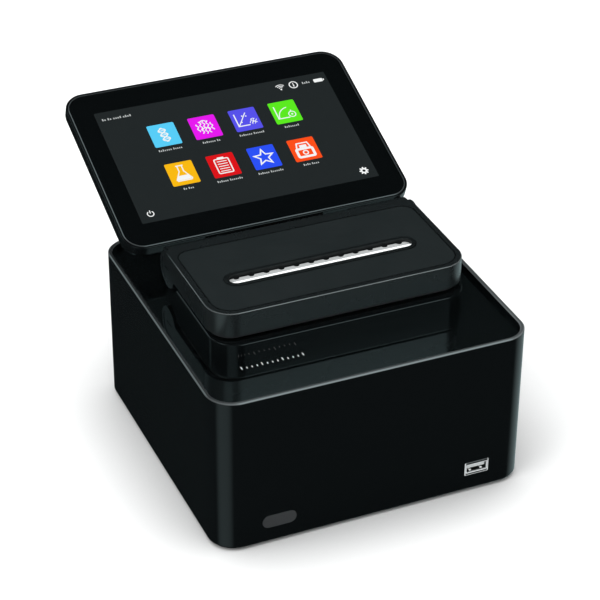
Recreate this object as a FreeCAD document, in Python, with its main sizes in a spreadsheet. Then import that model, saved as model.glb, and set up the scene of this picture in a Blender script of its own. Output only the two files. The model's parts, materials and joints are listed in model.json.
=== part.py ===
"""Benchtop twelve-position microvolume spectrophotometer with a tilting touchscreen.

Frame: millimetres, +Z up, the front faces -Y, +X is to the right seen from the front.
The origin is the centre of the mat that it stands on, which is the centre of the enclosure.
"""
import FreeCAD, Part
import math
import os
import re

import Sketcher

V = FreeCAD.Vector

# ---------------------------------------------------------------- driving dimensions
SIZES = {
    # enclosure
    "box_width": 188, "box_depth": 184, "box_height": 96, "box_corner": 15.5, "wall": 2.5,
    "mat": 1.5, "mat_half_width": 78, "mat_half_depth": 68, "mat_corner": 12,
    "deck_drop": 3.7, "sheet": 2, "ledge": 3, "play": 0.1,
    "boss": 9, "boss_height": 17, "boss_inset": 6, "boss_end": 2, "rim_chamfer": 0.7,
    "base_round": 1.6, "edge_round": 0.8,
    # case screws, and the vents and the cable hole in the sheet metal
    "screw": 1.5, "head": 3, "head_height": 1.1, "sink": 1.2, "screw_reach": 12,
    "vent_pitch": 8, "vent_width": 3, "vent_front": 72, "vent_rear": 81,
    "way_half": 9, "way_front": 46, "way_rear": 53,
    # stage block under the lid
    "block_half": 75.7, "block_front": 50.8, "block_rear": 37, "block_height": 10.8,
    "block_corner": 15, "block_rear_corner": 6, "block_wall": 4, "cavity_rear": 8,
    "position_pitch": 9, "position_count": 12, "sample_y": -14.2,
    "plate_half": 60, "plate_width": 17, "plate_seat": 3, "plate_proud": 0.5, "plate_ledge": 1.5,
    "window": 2, "window_rise": 0.7, "window_height": 2.7, "mirror_height": 2.6,
    "ferrule": 1.25, "ferrule_drop": 10, "ferrule_height": 11.6,
    "bar_half": 55, "bar_width": 8, "bar_drop": 9, "bar_height": 6,
    "magnet": 4, "magnet_depth": 3, "magnet_x": 67.5,
    # lid
    "lid_half": 76.5, "lid_front": 47.1, "lid_bottom": 108.5, "lid_top": 122.7,
    "lid_corner": 15, "lid_wall": 2.4, "panel_drop": 1.2, "panel_half": 72.9,
    "panel_front": 43.9, "panel_rear": 24.9, "panel_corner": 11.8, "panel_rear_corner": 8,
    "slot_half": 55.2, "slot_width": 9, "lip": 2.4, "lip_height": 0.5,
    "strip_low": 111.35, "strip_depth": 7.8, "strip_ledge": 3, "strip_back": 3,
    "strip_drop": 0.7, "strip_step": 0.9, "strip_gap": 0.3, "scallop": 1.8,
    "underplate": 5.5, "underplate_drop": 2.7, "underplate_rear": 13.6, "panel_gap": 0.35,
    # lid hinge
    "hinge_y": 26.6, "hinge_z": 111.9, "knuckle": 10.8, "knuckle_width": 5.6,
    "tube": 7.3, "hinge_pin": 3, "running": 0.05, "bush": 4.5, "cover_half": 74.2,
    "cover_rear": 40, "cover_round": 9, "notch_half": 39.5, "notch_front": 33.2,
    "sweep": 14.2, "leg_width": 14, "leg_spacing": 44, "leg_back": 10.5, "leg_depth": 10,
    "leg_sole": 2.7, "tube_gap": 0.6, "pin_cap": 2.1, "pin_length": 17.5, "cap_seat": 1.5,
    # touchscreen, in its own tilted frame
    "tilt": 20.2, "screen_y": 37.6, "screen_z": 105.6, "screen_half": 90.3,
    "screen_low": 17, "screen_high": 142.2, "screen_thick": 10, "screen_corner": 13,
    "rim": 1.3, "glass": 1.6, "view_half": 75.1, "view_low": 35, "view_high": 124.6,
    "back_round": 4.5, "lcd": 3.2,
    # screen hinge
    "tilt_y": 60, "tilt_z": 98.6, "tilt_knuckle": 4.1, "tilt_pin": 2, "tilt_pin_half": 32,
    "lug_inner": 24, "lug_width": 8, "washer": 1.2, "housing_half": 37, "housing_depth": 29,
    "arm_plate_half": 22, "arm_plate": 1.95, "arm_reach": 42, "arm_knuckle": 10,
    "arm_knuckle_offset": 17, "tail_half": 6, "tail_near": 6, "tail_far": 9,
    # front port and badge
    "port_x": 62.8, "port_z": 15.8, "port_width": 13.2, "port_height": 5.9, "port_depth": 14,
    "port_frame_width": 15.2, "port_frame_height": 9, "port_wall": 0.35,
    "port_wall_end": 1, "port_spring": 3.4, "blade_half": 5.4, "contact_pitch": 2.27,
    "badge_x": -57.6, "badge_z": 15.1, "badge_width": 20, "badge_height": 8, "badge_depth": 0.8,
    # rear panel
    "rear_half": 62, "rear_low": 12, "rear_high": 58, "socket_z": 35, "rocker_x": -46,
    "rocker_throw": 12, "inlet_x": -20, "network_x": 4, "usb_x": 26, "video_x": 47,
    "rear_corner": 4, "rear_lap": 4, "inlet_radius": 5.5, "flange": 1.2, "trunnion": 1,
    # inside
    "board": 1.6, "board_z": 14, "chip": 1.4, "optics_z": 46, "optics_height": 22,
    "optics_wall": 3, "beam_z": 57, "lamp_x": -44, "cell_radius": 9.1, "cell_length": 65,
}

doc = FreeCAD.newDocument("spectrophotometer")
sheet = doc.addObject("Spreadsheet::Sheet", "Sizes")
for row, (alias, number) in enumerate(SIZES.items(), 1):
    sheet.set(f"A{row}", alias)
    sheet.set(f"B{row}", str(number))
    sheet.setAlias(f"B{row}", alias)
doc.recompute()

NODES = {}


# ---------------------------------------------------------------- small modelling kit
def ex(text):
    """Points the dimension names in an expression at the sheet."""
    return re.sub(r"[a-z_]+", lambda m: f"Sizes.{m[0]}" if m[0] in SIZES else m[0], text)


def value(text):
    return float(sheet.evalExpression(ex(text)))


def bind(thing, path, text):
    thing.setExpression(path, ex(text))


def node(name, thing):
    """Names a finished sub-part."""
    thing.Label = name
    NODES[name] = thing
    return thing


def put(thing, at, turn=None):
    """Places a thing at three expressions, turned so that its own Z lies along an axis."""
    turns = {"X": FreeCAD.Rotation(V(0, 1, 0), 90), "Y": FreeCAD.Rotation(V(1, 0, 0), -90)}
    thing.Placement = FreeCAD.Placement(V(0, 0, 0), turns.get(turn, FreeCAD.Rotation()))
    for word, text in zip("xyz", at):
        bind(thing, f"Placement.Base.{word}", text)
    return thing


def box(name, low, size):
    thing = put(doc.addObject("Part::Box", name), low)
    for path, text in zip(("Length", "Width", "Height"), size):
        bind(thing, path, text)
    return thing


def rod(name, radius, length, at, turn=None):
    thing = put(doc.addObject("Part::Cylinder", name), at, turn)
    bind(thing, "Radius", radius)
    bind(thing, "Height", length)
    return thing


def fuse(name, things):
    thing = doc.addObject("Part::MultiFuse", name)
    thing.Shapes = things
    return thing


def cut(name, base, tools):
    thing = doc.addObject("Part::Cut", name)
    thing.Base = base
    thing.Tool = tools[0] if len(tools) == 1 else fuse(f"{name}_tools", tools)
    return thing


def group(name, things):
    """Several like pieces that share one node, as separate solids."""
    thing = doc.addObject("Part::Compound", name)
    thing.Links = things
    return thing


def ring(name, outer, inner, length, at, turn=None):
    solid = rod(f"{name}_solid", outer, length, at, turn)
    return cut(name, solid, [rod(f"{name}_bore", inner, length, at, turn)])


def hold(sketch, kind, *places_and_text):
    """Adds a dimension to a sketch and binds it to an expression."""
    *places, text = places_and_text
    index = sketch.addConstraint(Sketcher.Constraint(kind, *places, value(text)))
    bind(sketch, f"Constraints[{index}]", text)


def draw_outline(sketch, sides, radii=None):
    """A rectangle from left, right, low, high, with a radius or None at each corner.

    The corners run low right, high right, high left, low left.
    """
    left, right, low, high = (value(text) for text in sides)
    radii = radii or [None] * 4
    rounds = [value(text) if text else 0 for text in radii]
    first = sketch.GeometryCount
    corners = [(right, low), (right, high), (left, high), (left, low)]
    steps = [(1, 0), (0, 1), (-1, 0), (0, -1)]
    for k, (dx, dy) in enumerate(steps):
        (ax, ay), (bx, by) = corners[k - 1], corners[k]
        start = V(ax + dx * rounds[k - 1], ay + dy * rounds[k - 1], 0)
        end = V(bx - dx * rounds[k], by - dy * rounds[k], 0)
        sketch.addGeometry(Part.LineSegment(start, end), False)
    for k in range(4):
        sketch.addConstraint(Sketcher.Constraint("Vertical" if k % 2 else "Horizontal", first + k))
    for k, (x, y) in enumerate(corners):
        if radii[k] is None:
            sketch.addConstraint(Sketcher.Constraint("Coincident", first + k, 2, first + (k + 1) % 4, 1))
            continue
        (dx, dy), (nx, ny) = steps[k], steps[(k + 1) % 4]
        centre = V(x + rounds[k] * (nx - dx), y + rounds[k] * (ny - dy), 0)
        start = (k - 1) * math.pi / 2
        circle = Part.Circle(centre, V(0, 0, 1), rounds[k])
        arc = sketch.addGeometry(Part.ArcOfCircle(circle, start, start + math.pi / 2), False)
        sketch.addConstraint(Sketcher.Constraint("Tangent", first + k, 2, arc, 1))
        sketch.addConstraint(Sketcher.Constraint("Tangent", arc, 2, first + (k + 1) % 4, 1))
        hold(sketch, "Radius", arc, radii[k])
    for kind, line, text in (("DistanceX", 3, sides[0]), ("DistanceX", 1, sides[1]),
                             ("DistanceY", 0, sides[2]), ("DistanceY", 2, sides[3])):
        hold(sketch, kind, -1, 1, first + line, 1, text)


def draw_circle(sketch, across, up, radius):
    circle = Part.Circle(V(value(across), value(up), 0), V(0, 0, 1), value(radius))
    index = sketch.addGeometry(circle, False)
    hold(sketch, "DistanceX", -1, 1, index, 3, across)
    hold(sketch, "DistanceY", -1, 1, index, 3, up)
    hold(sketch, "Radius", index, radius)


def level_at(height):
    """Picks the edges that lie at one height."""
    return lambda edge: all(abs(v.Z - height) < 1e-4 for v in edge.Vertexes)


class Piece:
    """A PartDesign body, built feature by feature; sketches lie on its own origin planes."""

    def __init__(self, name):
        self.name = name
        self.body = doc.addObject("PartDesign::Body", name)
        self.made = 0

    def sketch(self, plane="XY", level="0"):
        """A sketch on XY at a height, on XZ at a depth, or on YZ at a distance along X."""
        self.made += 1
        sketch = self.body.newObject("Sketcher::SketchObject", f"{self.name}_sketch_{self.made}")
        origin = next(f for f in self.body.Origin.OriginFeatures if f.Role == f"{plane}_Plane")
        sketch.AttachmentSupport = [(origin, "")]
        sketch.MapMode = "FlatFace"
        bind(sketch, "AttachmentOffset.Base.z", f"-({level})" if plane == "XZ" else level)
        return sketch

    def sweep(self, kind, sketch, length, back, both):
        before = self.body.Shape.Volume if self.body.Tip else 0
        feature = self.body.newObject(f"PartDesign::{kind}", f"{self.name}_{kind.lower()}_{self.made}")
        feature.Profile = sketch
        bind(feature, "Length", length)
        feature.Reversed = back
        if both:
            feature.SideType = "Symmetric"
        sketch.Visibility = False
        doc.recompute()
        change = self.body.Shape.Volume - before
        if change * (1 if kind == "Pad" else -1) <= 0:
            raise ValueError(f"{feature.Name} changed nothing")
        return feature

    def pad(self, sketch, length, back=False, both=False):
        return self.sweep("Pad", sketch, length, back, both)

    def pocket(self, sketch, length, back=False, both=False):
        return self.sweep("Pocket", sketch, length, back, both)

    def dress(self, kind, size, pick):
        """Fillets or chamfers the picked edges."""
        base = self.body.Tip
        names = [f"Edge{k}" for k, edge in enumerate(base.Shape.Edges, 1) if pick(edge)]
        if not names:
            raise ValueError(f"{self.name} has no such edge")
        self.made += 1
        feature = self.body.newObject(f"PartDesign::{kind}", f"{self.name}_{kind.lower()}_{self.made}")
        feature.Base = (base, names)
        bind(feature, "Radius" if kind == "Fillet" else "Size", size)
        doc.recompute()
        return feature

    def row(self, feature, length, count):
        """Repeats a feature along X."""
        pattern = self.body.newObject("PartDesign::LinearPattern", f"{self.name}_row")
        pattern.Originals = [feature]
        axis = next(f for f in self.body.Origin.OriginFeatures if f.Role == "X_Axis")
        pattern.Direction = (axis, [""])
        bind(pattern, "Length", length)
        bind(pattern, "Occurrences", count)
        self.body.Tip = pattern
        doc.recompute()
        return pattern

    def finish(self, at=None, tilted=False):
        """Names the body as a sub-part, on the screen's plane if tilted."""
        if tilted:
            self.body.Placement = FreeCAD.Placement(V(0, 0, 0), FreeCAD.Rotation(V(1, 0, 0), value("tilt")))
            bind(self.body, "Placement.Rotation.Angle", "tilt")
            at = ("0", "screen_y", "screen_z")
        for word, text in zip("xyz", at or ()):
            bind(self.body, f"Placement.Base.{word}", text)
        return node(self.name, self.body)


def slab(name, sides, low, high, radius=None, tilted=False):
    """A flat plate between two heights, with rounded corners if a radius is given."""
    piece = Piece(name)
    outline = piece.sketch("XY", low)
    draw_outline(outline, sides, [radius] * 4 if radius else None)
    piece.pad(outline, f"({high}) - ({low})")
    piece.finish(tilted=tilted)
    return piece


# heights and half sizes worked out from the driving dimensions
RIM_Z = "(mat + box_height)"
DECK_Z = "(mat + box_height - deck_drop)"
INNER_X = "(box_width / 2 - wall)"
INNER_Y = "(box_depth / 2 - wall)"
INNER_R = "(box_corner - wall)"
FRONT_Y = "(-box_depth / 2)"
BLOCK_TOP = "(mat + box_height - deck_drop + block_height)"
FLOOR_TOP = "(mat + sheet)"
REAR_FACE = "(box_depth / 2 - wall - 0.05)"
ROCKER_Y = f"({REAR_FACE} - 3)"


def both_sides(half):
    return f"-({half})", half


def ring_of(half_x, half_y):
    return (*both_sides(half_x), *both_sides(half_y))


def boss_places():
    inset_x = f"({INNER_X} - boss / 2)"
    inset_y = f"({INNER_Y} - boss / 2 - boss_inset)"
    return [(f"{sx} * {inset_x}", f"{sy} * {inset_y}") for sx in (-1, 1) for sy in (-1, 1)]


# ---------------------------------------------------------------- enclosure
def enclosure_shell():
    piece = Piece("enclosure_shell")
    outline = piece.sketch("XY", "mat")
    draw_outline(outline, ring_of("box_width / 2", "box_depth / 2"), ["box_corner"] * 4)
    piece.pad(outline, "box_height")
    well = piece.sketch("XY", RIM_Z)
    draw_outline(well, ring_of(INNER_X, INNER_Y), [INNER_R] * 4)
    piece.pocket(well, "deck_drop + sheet")
    throat = piece.sketch("XY", RIM_Z)
    draw_outline(throat, ring_of(f"{INNER_X} - ledge", f"{INNER_Y} - ledge"), [f"{INNER_R} - ledge"] * 4)
    piece.pocket(throat, "deck_drop + sheet + ledge")
    hollow = piece.sketch("XY", "mat")
    draw_outline(hollow, ring_of(INNER_X, INNER_Y), [INNER_R] * 4)
    piece.pocket(hollow, "box_height - deck_drop - sheet - ledge", back=True)
    for x, y in boss_places():
        boss = piece.sketch("XY", f"{FLOOR_TOP} + play")
        draw_outline(boss, (f"{x} - boss / 2", f"{x} + boss / 2", f"{y} - boss / 2", f"{y} + boss / 2"))
        piece.pad(boss, "boss_height")
        hole = piece.sketch("XY", f"{FLOOR_TOP} + play")
        draw_circle(hole, x, y, "screw")
        piece.pocket(hole, "boss_height - boss_end", back=True)
    port = piece.sketch("XZ", FRONT_Y)
    draw_outline(port, port_sides("port_frame_width", "port_frame_height"), ["0.8"] * 4)
    piece.pocket(port, "wall")
    badge = piece.sketch("XZ", FRONT_Y)
    draw_outline(badge, badge_sides("play"), ["badge_height / 2"] * 4)
    piece.pocket(badge, "badge_depth")
    rear = piece.sketch("XZ", "box_depth / 2")
    draw_outline(rear, (*both_sides("rear_half"), "rear_low", "rear_high"), ["rear_corner"] * 4)
    piece.pocket(rear, "wall", back=True)
    rim = value(RIM_Z)
    piece.dress("Chamfer", "rim_chamfer", level_at(rim))
    foot = value("mat")
    outer = value("box_width / 2 - box_corner")
    piece.dress("Fillet", "base_round", lambda e: level_at(foot)(e) and max_reach(e) > outer
                and outside_wall(e))
    return piece.finish()


def max_reach(edge):
    return max(max(abs(v.X), abs(v.Y)) for v in edge.Vertexes)


def outside_wall(edge):
    """True for an edge on the enclosure's outer faces."""
    middle = edge.valueAt((edge.FirstParameter + edge.LastParameter) / 2)
    centre_x = value("box_width / 2 - box_corner")
    centre_y = value("box_depth / 2 - box_corner")
    past = V(max(abs(middle.x) - centre_x, 0), max(abs(middle.y) - centre_y, 0), 0)
    return past.Length > value("box_corner") - 0.5


def port_sides(width, height):
    return (f"port_x - {width} / 2", f"port_x + {width} / 2",
            f"port_z - {height} / 2", f"port_z + {height} / 2")


def badge_sides(margin):
    return (f"badge_x - badge_width / 2 - ({margin})", f"badge_x + badge_width / 2 + {margin}",
            f"badge_z - badge_height / 2 - ({margin})", f"badge_z + badge_height / 2 + {margin}")


def base_plate():
    piece = Piece("base_plate")
    outline = piece.sketch("XY", "mat")
    draw_outline(outline, ring_of(f"{INNER_X} - play", f"{INNER_Y} - play"), [f"{INNER_R} - play"] * 4)
    piece.pad(outline, "sheet")
    holes = piece.sketch("XY", "mat")
    for x, y in boss_places():
        draw_circle(holes, x, y, "screw + play")
    piece.pocket(holes, "sheet", back=True)
    sinks = piece.sketch("XY", "mat")
    for x, y in boss_places():
        draw_circle(sinks, x, y, "head + play")
    piece.pocket(sinks, "sink", back=True)
    vents = piece.sketch("XY", "mat")
    for k in range(-4, 5):
        middle = f"{k} * vent_pitch"
        draw_outline(vents, (f"{middle} - vent_width / 2", f"{middle} + vent_width / 2",
                             "vent_front", "vent_rear"))
    piece.pocket(vents, "sheet", back=True)
    return piece.finish()


def rubber_mat():
    """The non-slip mat bonded under the base plate."""
    sides = ring_of("mat_half_width", "mat_half_depth")
    slab("rubber_mat", sides, "0", "mat", "mat_corner")


def case_screws():
    screws = []
    for k, (x, y) in enumerate(boss_places()):
        at = (x, y, "mat + play")
        head = rod(f"case_screw_head_{k}", "head", "head_height", at)
        shank = rod(f"case_screw_shank_{k}", "screw - running", "screw_reach", at)
        screws.append(fuse(f"case_screw_{k}", [head, shank]))
    return node("case_screws", group("case_screw_set", screws))


def deck_plate():
    piece = Piece("deck_plate")
    outline = piece.sketch("XY", f"{DECK_Z} - sheet")
    draw_outline(outline, ring_of(f"{INNER_X} - play", f"{INNER_Y} - play"), [f"{INNER_R} - play"] * 4)
    piece.pad(outline, "sheet")
    openings = piece.sketch("XY", f"{DECK_Z} - sheet")
    draw_outline(openings, stage_sides("0"))
    draw_outline(openings, (*both_sides("way_half"), "way_front", "way_rear"))
    piece.pocket(openings, "sheet", back=True)
    return piece.finish()


def badge_plate():
    piece = Piece("badge_plate")
    outline = piece.sketch("XZ", f"{FRONT_Y} + badge_depth")
    draw_outline(outline, badge_sides("0"), ["badge_height / 2 - 0.01"] * 4)
    piece.pad(outline, "1")
    return piece.finish()


# ---------------------------------------------------------------- sample stage
def hinge_legs():
    return [f"{k} * leg_spacing" for k in (-1, 0, 1)]


def stage_block():
    piece = Piece("stage_block")
    outline = piece.sketch("XY", DECK_Z)
    radii = ["block_corner", "block_rear_corner", "block_rear_corner", "block_corner"]
    draw_outline(outline, (*both_sides("block_half"), "-block_front", "block_rear"), radii)
    piece.pad(outline, "block_height")
    piece.dress("Fillet", "edge_round", level_at(value(BLOCK_TOP)))
    cavity = piece.sketch("XY", DECK_Z)
    sides = (*both_sides("block_half - block_wall"), "block_wall - block_front", "cavity_rear")
    front, rear = "block_corner - block_wall", "block_wall"
    draw_outline(cavity, sides, [front, rear, rear, front])
    piece.pocket(cavity, "block_height - block_wall", back=True)
    seat = piece.sketch("XY", BLOCK_TOP)
    draw_outline(seat, stage_sides("play"), ["2"] * 4)
    piece.pocket(seat, "plate_seat")
    throat = piece.sketch("XY", BLOCK_TOP)
    draw_outline(throat, stage_sides("-plate_ledge"))
    piece.pocket(throat, "block_wall")
    magnets = piece.sketch("XY", BLOCK_TOP)
    for side in (-1, 1):
        draw_circle(magnets, f"{side} * magnet_x", "sample_y", "magnet + play")
    piece.pocket(magnets, "magnet_depth")
    relief = piece.sketch("YZ", "0")
    draw_circle(relief, "hinge_y", "hinge_z", "sweep")
    piece.pocket(relief, "box_width", both=True)
    for x in hinge_legs():
        foot = piece.sketch("XY", BLOCK_TOP)
        draw_outline(foot, (f"{x} - leg_width / 2 - play", f"{x} + leg_width / 2 + play",
                            "hinge_y - leg_back - play", "hinge_y - leg_back + leg_depth + play"))
        piece.pocket(foot, "block_height - leg_sole")
    return piece.finish()


def stage_sides(margin):
    return (*both_sides(f"plate_half + {margin}"), f"sample_y - plate_width / 2 - ({margin})",
            f"sample_y + plate_width / 2 + {margin}")


def first_position():
    return "-position_pitch * (position_count - 1) / 2"


def position_x(k):
    return f"{first_position()} + {k} * position_pitch"


def sample_plate():
    piece = Piece("sample_plate")
    outline = piece.sketch("XY", f"{BLOCK_TOP} - plate_seat")
    draw_outline(outline, stage_sides("0"), ["1.9"] * 4)
    piece.pad(outline, "plate_seat + plate_proud")
    hole = piece.sketch("XY", f"{BLOCK_TOP} - plate_seat")
    draw_circle(hole, first_position(), "sample_y", "window + running")
    feature = piece.pocket(hole, "plate_seat + plate_proud", back=True)
    piece.row(feature, "position_pitch * (position_count - 1)", "position_count")
    return piece.finish()


def positions(name, radius, length, low):
    """One round piece at each of the sample positions."""
    count = int(value("position_count"))
    return [rod(f"{name}_{k}", radius, length, (position_x(k), "sample_y", low)) for k in range(count)]


def sample_windows():
    """Quartz windows in the top of the plate's bores, a little below its face."""
    low = f"{BLOCK_TOP} - plate_seat + window_rise"
    windows = positions("window", "window", "window_height", low)
    return node("sample_windows", group("window_set", windows))


def fibre_ferrules():
    """Ferrules that carry the fibre ends up to the windows."""
    low = f"{BLOCK_TOP} - block_wall - ferrule_drop"
    ferrules = positions("ferrule", "ferrule", "ferrule_height", low)
    return node("fibre_ferrules", group("ferrule_set", ferrules))


def fibre_manifold():
    """The bar below the block that holds the ferrules in line."""
    low = f"{BLOCK_TOP} - block_wall - bar_drop"
    bar = box("manifold_bar", ("-bar_half", "sample_y - bar_width / 2", low),
              ("2 * bar_half", "bar_width", "bar_height"))
    bores = positions("manifold_bore", "ferrule + running", "bar_height + 2", f"{low} - 1")
    return node("fibre_manifold", cut("manifold", bar, bores))


def stage_magnets():
    discs = []
    for side in (-1, 1):
        at = (f"{side} * magnet_x", "sample_y", f"{BLOCK_TOP} - magnet_depth")
        discs.append(rod(f"stage_magnet_{side + 1}", "magnet", "magnet_depth - 0.2", at))
    return node("stage_magnets", group("stage_magnet_set", discs))


# ---------------------------------------------------------------- lid hinge, fixed side
def hinge_tube():
    half = "(lid_half - knuckle_width - tube_gap)"
    tube = rod("hinge_tube_rod", "tube", f"2 * {half}", (f"-{half}", "hinge_y", "hinge_z"), "X")
    sole = f"({BLOCK_TOP} - block_height + leg_sole)"
    legs = []
    for k, x in enumerate(hinge_legs()):
        low = (f"{x} - leg_width / 2", "hinge_y - leg_back", sole)
        legs.append(box(f"hinge_leg_{k}", low, ("leg_width", "leg_depth", f"hinge_z - {sole}")))
    solid = fuse("hinge_tube_solid", [tube, *legs])
    bore_length = "lid_half * 2"
    bore = rod("hinge_tube_bore", "hinge_pin + 0.02", bore_length, ("-lid_half", "hinge_y", "hinge_z"), "X")
    return node("hinge_tube", cut("hinge_tube_cut", solid, [bore]))


def hinge_pins():
    pins = []
    for side in (-1, 1):
        low = "lid_half - pin_cap - pin_length" if side > 0 else "-lid_half + pin_cap"
        pins.append(rod(f"hinge_pin_{side + 1}", "hinge_pin", "pin_length", (low, "hinge_y", "hinge_z"), "X"))
    return node("hinge_pins", group("hinge_pin_set", pins))


# ---------------------------------------------------------------- lid
def lid_shell():
    piece = Piece("lid_shell")
    outline = piece.sketch("XY", "lid_bottom")
    radii = ["lid_corner", None, None, "lid_corner"]
    draw_outline(outline, (*both_sides("lid_half"), "-lid_front", "hinge_y"), radii)
    piece.pad(outline, "lid_top - lid_bottom")
    top = value("lid_top")
    ahead = value("hinge_y") - 0.1
    piece.dress("Fillet", "edge_round", lambda e: level_at(top)(e) and min(v.Y for v in e.Vertexes) < ahead)
    cavity = piece.sketch("XY", "lid_bottom")
    radii = ["lid_corner - lid_wall", "0.5", "0.5", "lid_corner - lid_wall"]
    sides = (*both_sides("lid_half - lid_wall"), "lid_wall - lid_front", "hinge_y")
    draw_outline(cavity, sides, radii)
    piece.pocket(cavity, "lid_top - lid_bottom - lid_wall", back=True)
    lid_cover(piece)
    for side in (-1, 1):
        knuckle = piece.sketch("YZ", f"{side} * (lid_half - knuckle_width / 2)")
        draw_circle(knuckle, "hinge_y", "hinge_z", "knuckle")
        piece.pad(knuckle, "knuckle_width", both=True)
    bore = piece.sketch("YZ", "0")
    draw_circle(bore, "hinge_y", "hinge_z", "bush")
    piece.pocket(bore, "3 * lid_half", both=True)
    for side in (-1, 1):
        seat = piece.sketch("YZ", f"{side} * lid_half")
        draw_circle(seat, "hinge_y", "hinge_z", "knuckle - 2.2")
        piece.pocket(seat, "cap_seat", back=side < 0)
    recess = piece.sketch("XY", "lid_top")
    draw_outline(recess, panel_sides("0"), panel_radii("0"))
    piece.pocket(recess, "panel_drop")
    slot = piece.sketch("XY", "lid_top")
    draw_outline(slot, slot_sides("lip"), ["slot_width / 2 + lip - 0.01"] * 4)
    piece.pocket(slot, "lid_wall + 1")
    return piece.finish()


def lid_cover(piece):
    """The rounded rear cover over the barrel, with the screen hinge's notch in the middle."""
    profile = piece.sketch("YZ", "0")
    top, z_low = value("lid_top"), value("hinge_z")
    rear, bend, wall = value("cover_rear"), value("cover_round"), value("lid_wall")
    start = value("hinge_y") - 2
    centre = V(rear - bend, top - bend, 0)
    outer = [V(start, top, 0), V(rear - bend, top, 0), V(rear, top - bend, 0), V(rear, z_low, 0)]
    inner = [V(rear - wall, z_low, 0), V(rear - wall, top - bend, 0), V(rear - bend, top - wall, 0),
             V(start, top - wall, 0)]
    quarter = math.pi / 2
    axis = V(0, 0, 1)
    parts = [
        Part.LineSegment(outer[0], outer[1]),
        Part.ArcOfCircle(Part.Circle(centre, axis, bend), 0, quarter),
        Part.LineSegment(outer[2], outer[3]),
        Part.LineSegment(outer[3], inner[0]),
        Part.LineSegment(inner[0], inner[1]),
        Part.ArcOfCircle(Part.Circle(centre, axis, bend - wall), 0, quarter),
        Part.LineSegment(inner[2], inner[3]),
        Part.LineSegment(inner[3], outer[0]),
    ]
    for part in parts:
        profile.addGeometry(part, False)
    joins = [("Tangent", 0, 2, 1, 2), ("Tangent", 1, 1, 2, 1), ("Coincident", 2, 2, 3, 1),
             ("Coincident", 3, 2, 4, 1), ("Tangent", 4, 2, 5, 1), ("Tangent", 5, 2, 6, 1),
             ("Coincident", 6, 2, 7, 1), ("Coincident", 7, 2, 0, 1)]
    for kind, *places in joins:
        profile.addConstraint(Sketcher.Constraint(kind, *places))
    for line in (0, 3):
        profile.addConstraint(Sketcher.Constraint("Horizontal", line))
    for line in (2, 4, 7):
        profile.addConstraint(Sketcher.Constraint("Vertical", line))
    profile.addConstraint(Sketcher.Constraint("Coincident", 1, 3, 5, 3))
    hold(profile, "Radius", 1, "cover_round")
    hold(profile, "Radius", 5, "cover_round - lid_wall")
    hold(profile, "DistanceX", -1, 1, 0, 1, "hinge_y - 2")
    hold(profile, "DistanceY", -1, 1, 0, 1, "lid_top")
    hold(profile, "DistanceX", -1, 1, 2, 2, "cover_rear")
    hold(profile, "DistanceY", -1, 1, 2, 2, "hinge_z")
    piece.pad(profile, "2 * cover_half", both=True)
    notch = piece.sketch("XY", "lid_top")
    draw_outline(notch, (*both_sides("notch_half"), "notch_front", "cover_rear + 1"))
    piece.pocket(notch, "lid_top - hinge_z + 1")


def panel_sides(gap):
    return (*both_sides(f"panel_half - {gap}"), f"-(panel_front - {gap})", f"panel_rear - {gap}")


def panel_radii(gap):
    front, rear = f"panel_corner - {gap}", f"panel_rear_corner - {gap}"
    return [front, rear, rear, front]


def slot_sides(margin):
    return (*both_sides(f"slot_half + {margin}"), f"sample_y - slot_width / 2 - ({margin})",
            f"sample_y + slot_width / 2 + {margin}")


def lid_panel():
    piece = Piece("lid_panel")
    outline = piece.sketch("XY", "lid_top - panel_drop")
    draw_outline(outline, panel_sides("panel_gap"), panel_radii("panel_gap"))
    piece.pad(outline, "panel_drop - 0.05")
    slot = piece.sketch("XY", "lid_top")
    draw_outline(slot, slot_sides("lip + play"), ["slot_width / 2 + lip"] * 4)
    piece.pocket(slot, "panel_drop + 1")
    return piece.finish()


def slot_bezel():
    """The raised lip around the slot, reaching down to the underplate."""
    piece = Piece("slot_bezel")
    outline = piece.sketch("XY", "lid_top - lid_wall - 0.4")
    draw_outline(outline, slot_sides("lip - play"), ["slot_width / 2 + lip - play - 0.01"] * 4)
    piece.pad(outline, "lid_wall + 0.4 + lip_height")
    opening = piece.sketch("XY", "lid_top + lip_height")
    draw_outline(opening, slot_sides("0"), ["slot_width / 2 - 0.01"] * 4)
    piece.pocket(opening, "lid_wall + 2")
    top = value("lid_top + lip_height")
    piece.dress("Fillet", "0.4", level_at(top))
    return piece.finish()


def position_strip():
    """The light strip in the slot: a front ledge and a lower rear edge, scalloped at each position."""
    piece = Piece("position_strip")
    front = "sample_y - slot_width / 2 + strip_gap"
    sides = (*both_sides("slot_half - strip_gap"), front, f"{front} + strip_depth")
    bar = piece.sketch("XY", "strip_low")
    end = "slot_width / 2 - strip_gap"
    draw_outline(bar, sides, [end, "strip_back", "strip_back", end])
    piece.pad(bar, "lid_top - strip_drop - strip_low")
    step = piece.sketch("XY", "lid_top - strip_drop")
    draw_outline(step, (*both_sides("slot_half"), f"{front} + strip_ledge", f"{front} + strip_depth + 1"))
    piece.pocket(step, "strip_step")
    scallop = piece.sketch("XY", "lid_top - strip_drop")
    draw_circle(scallop, first_position(), f"{front} + strip_depth + strip_gap", "scallop")
    feature = piece.pocket(scallop, "lid_top - strip_drop - strip_low")
    piece.row(feature, "position_pitch * (position_count - 1)", "position_count")
    return piece.finish()


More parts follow.
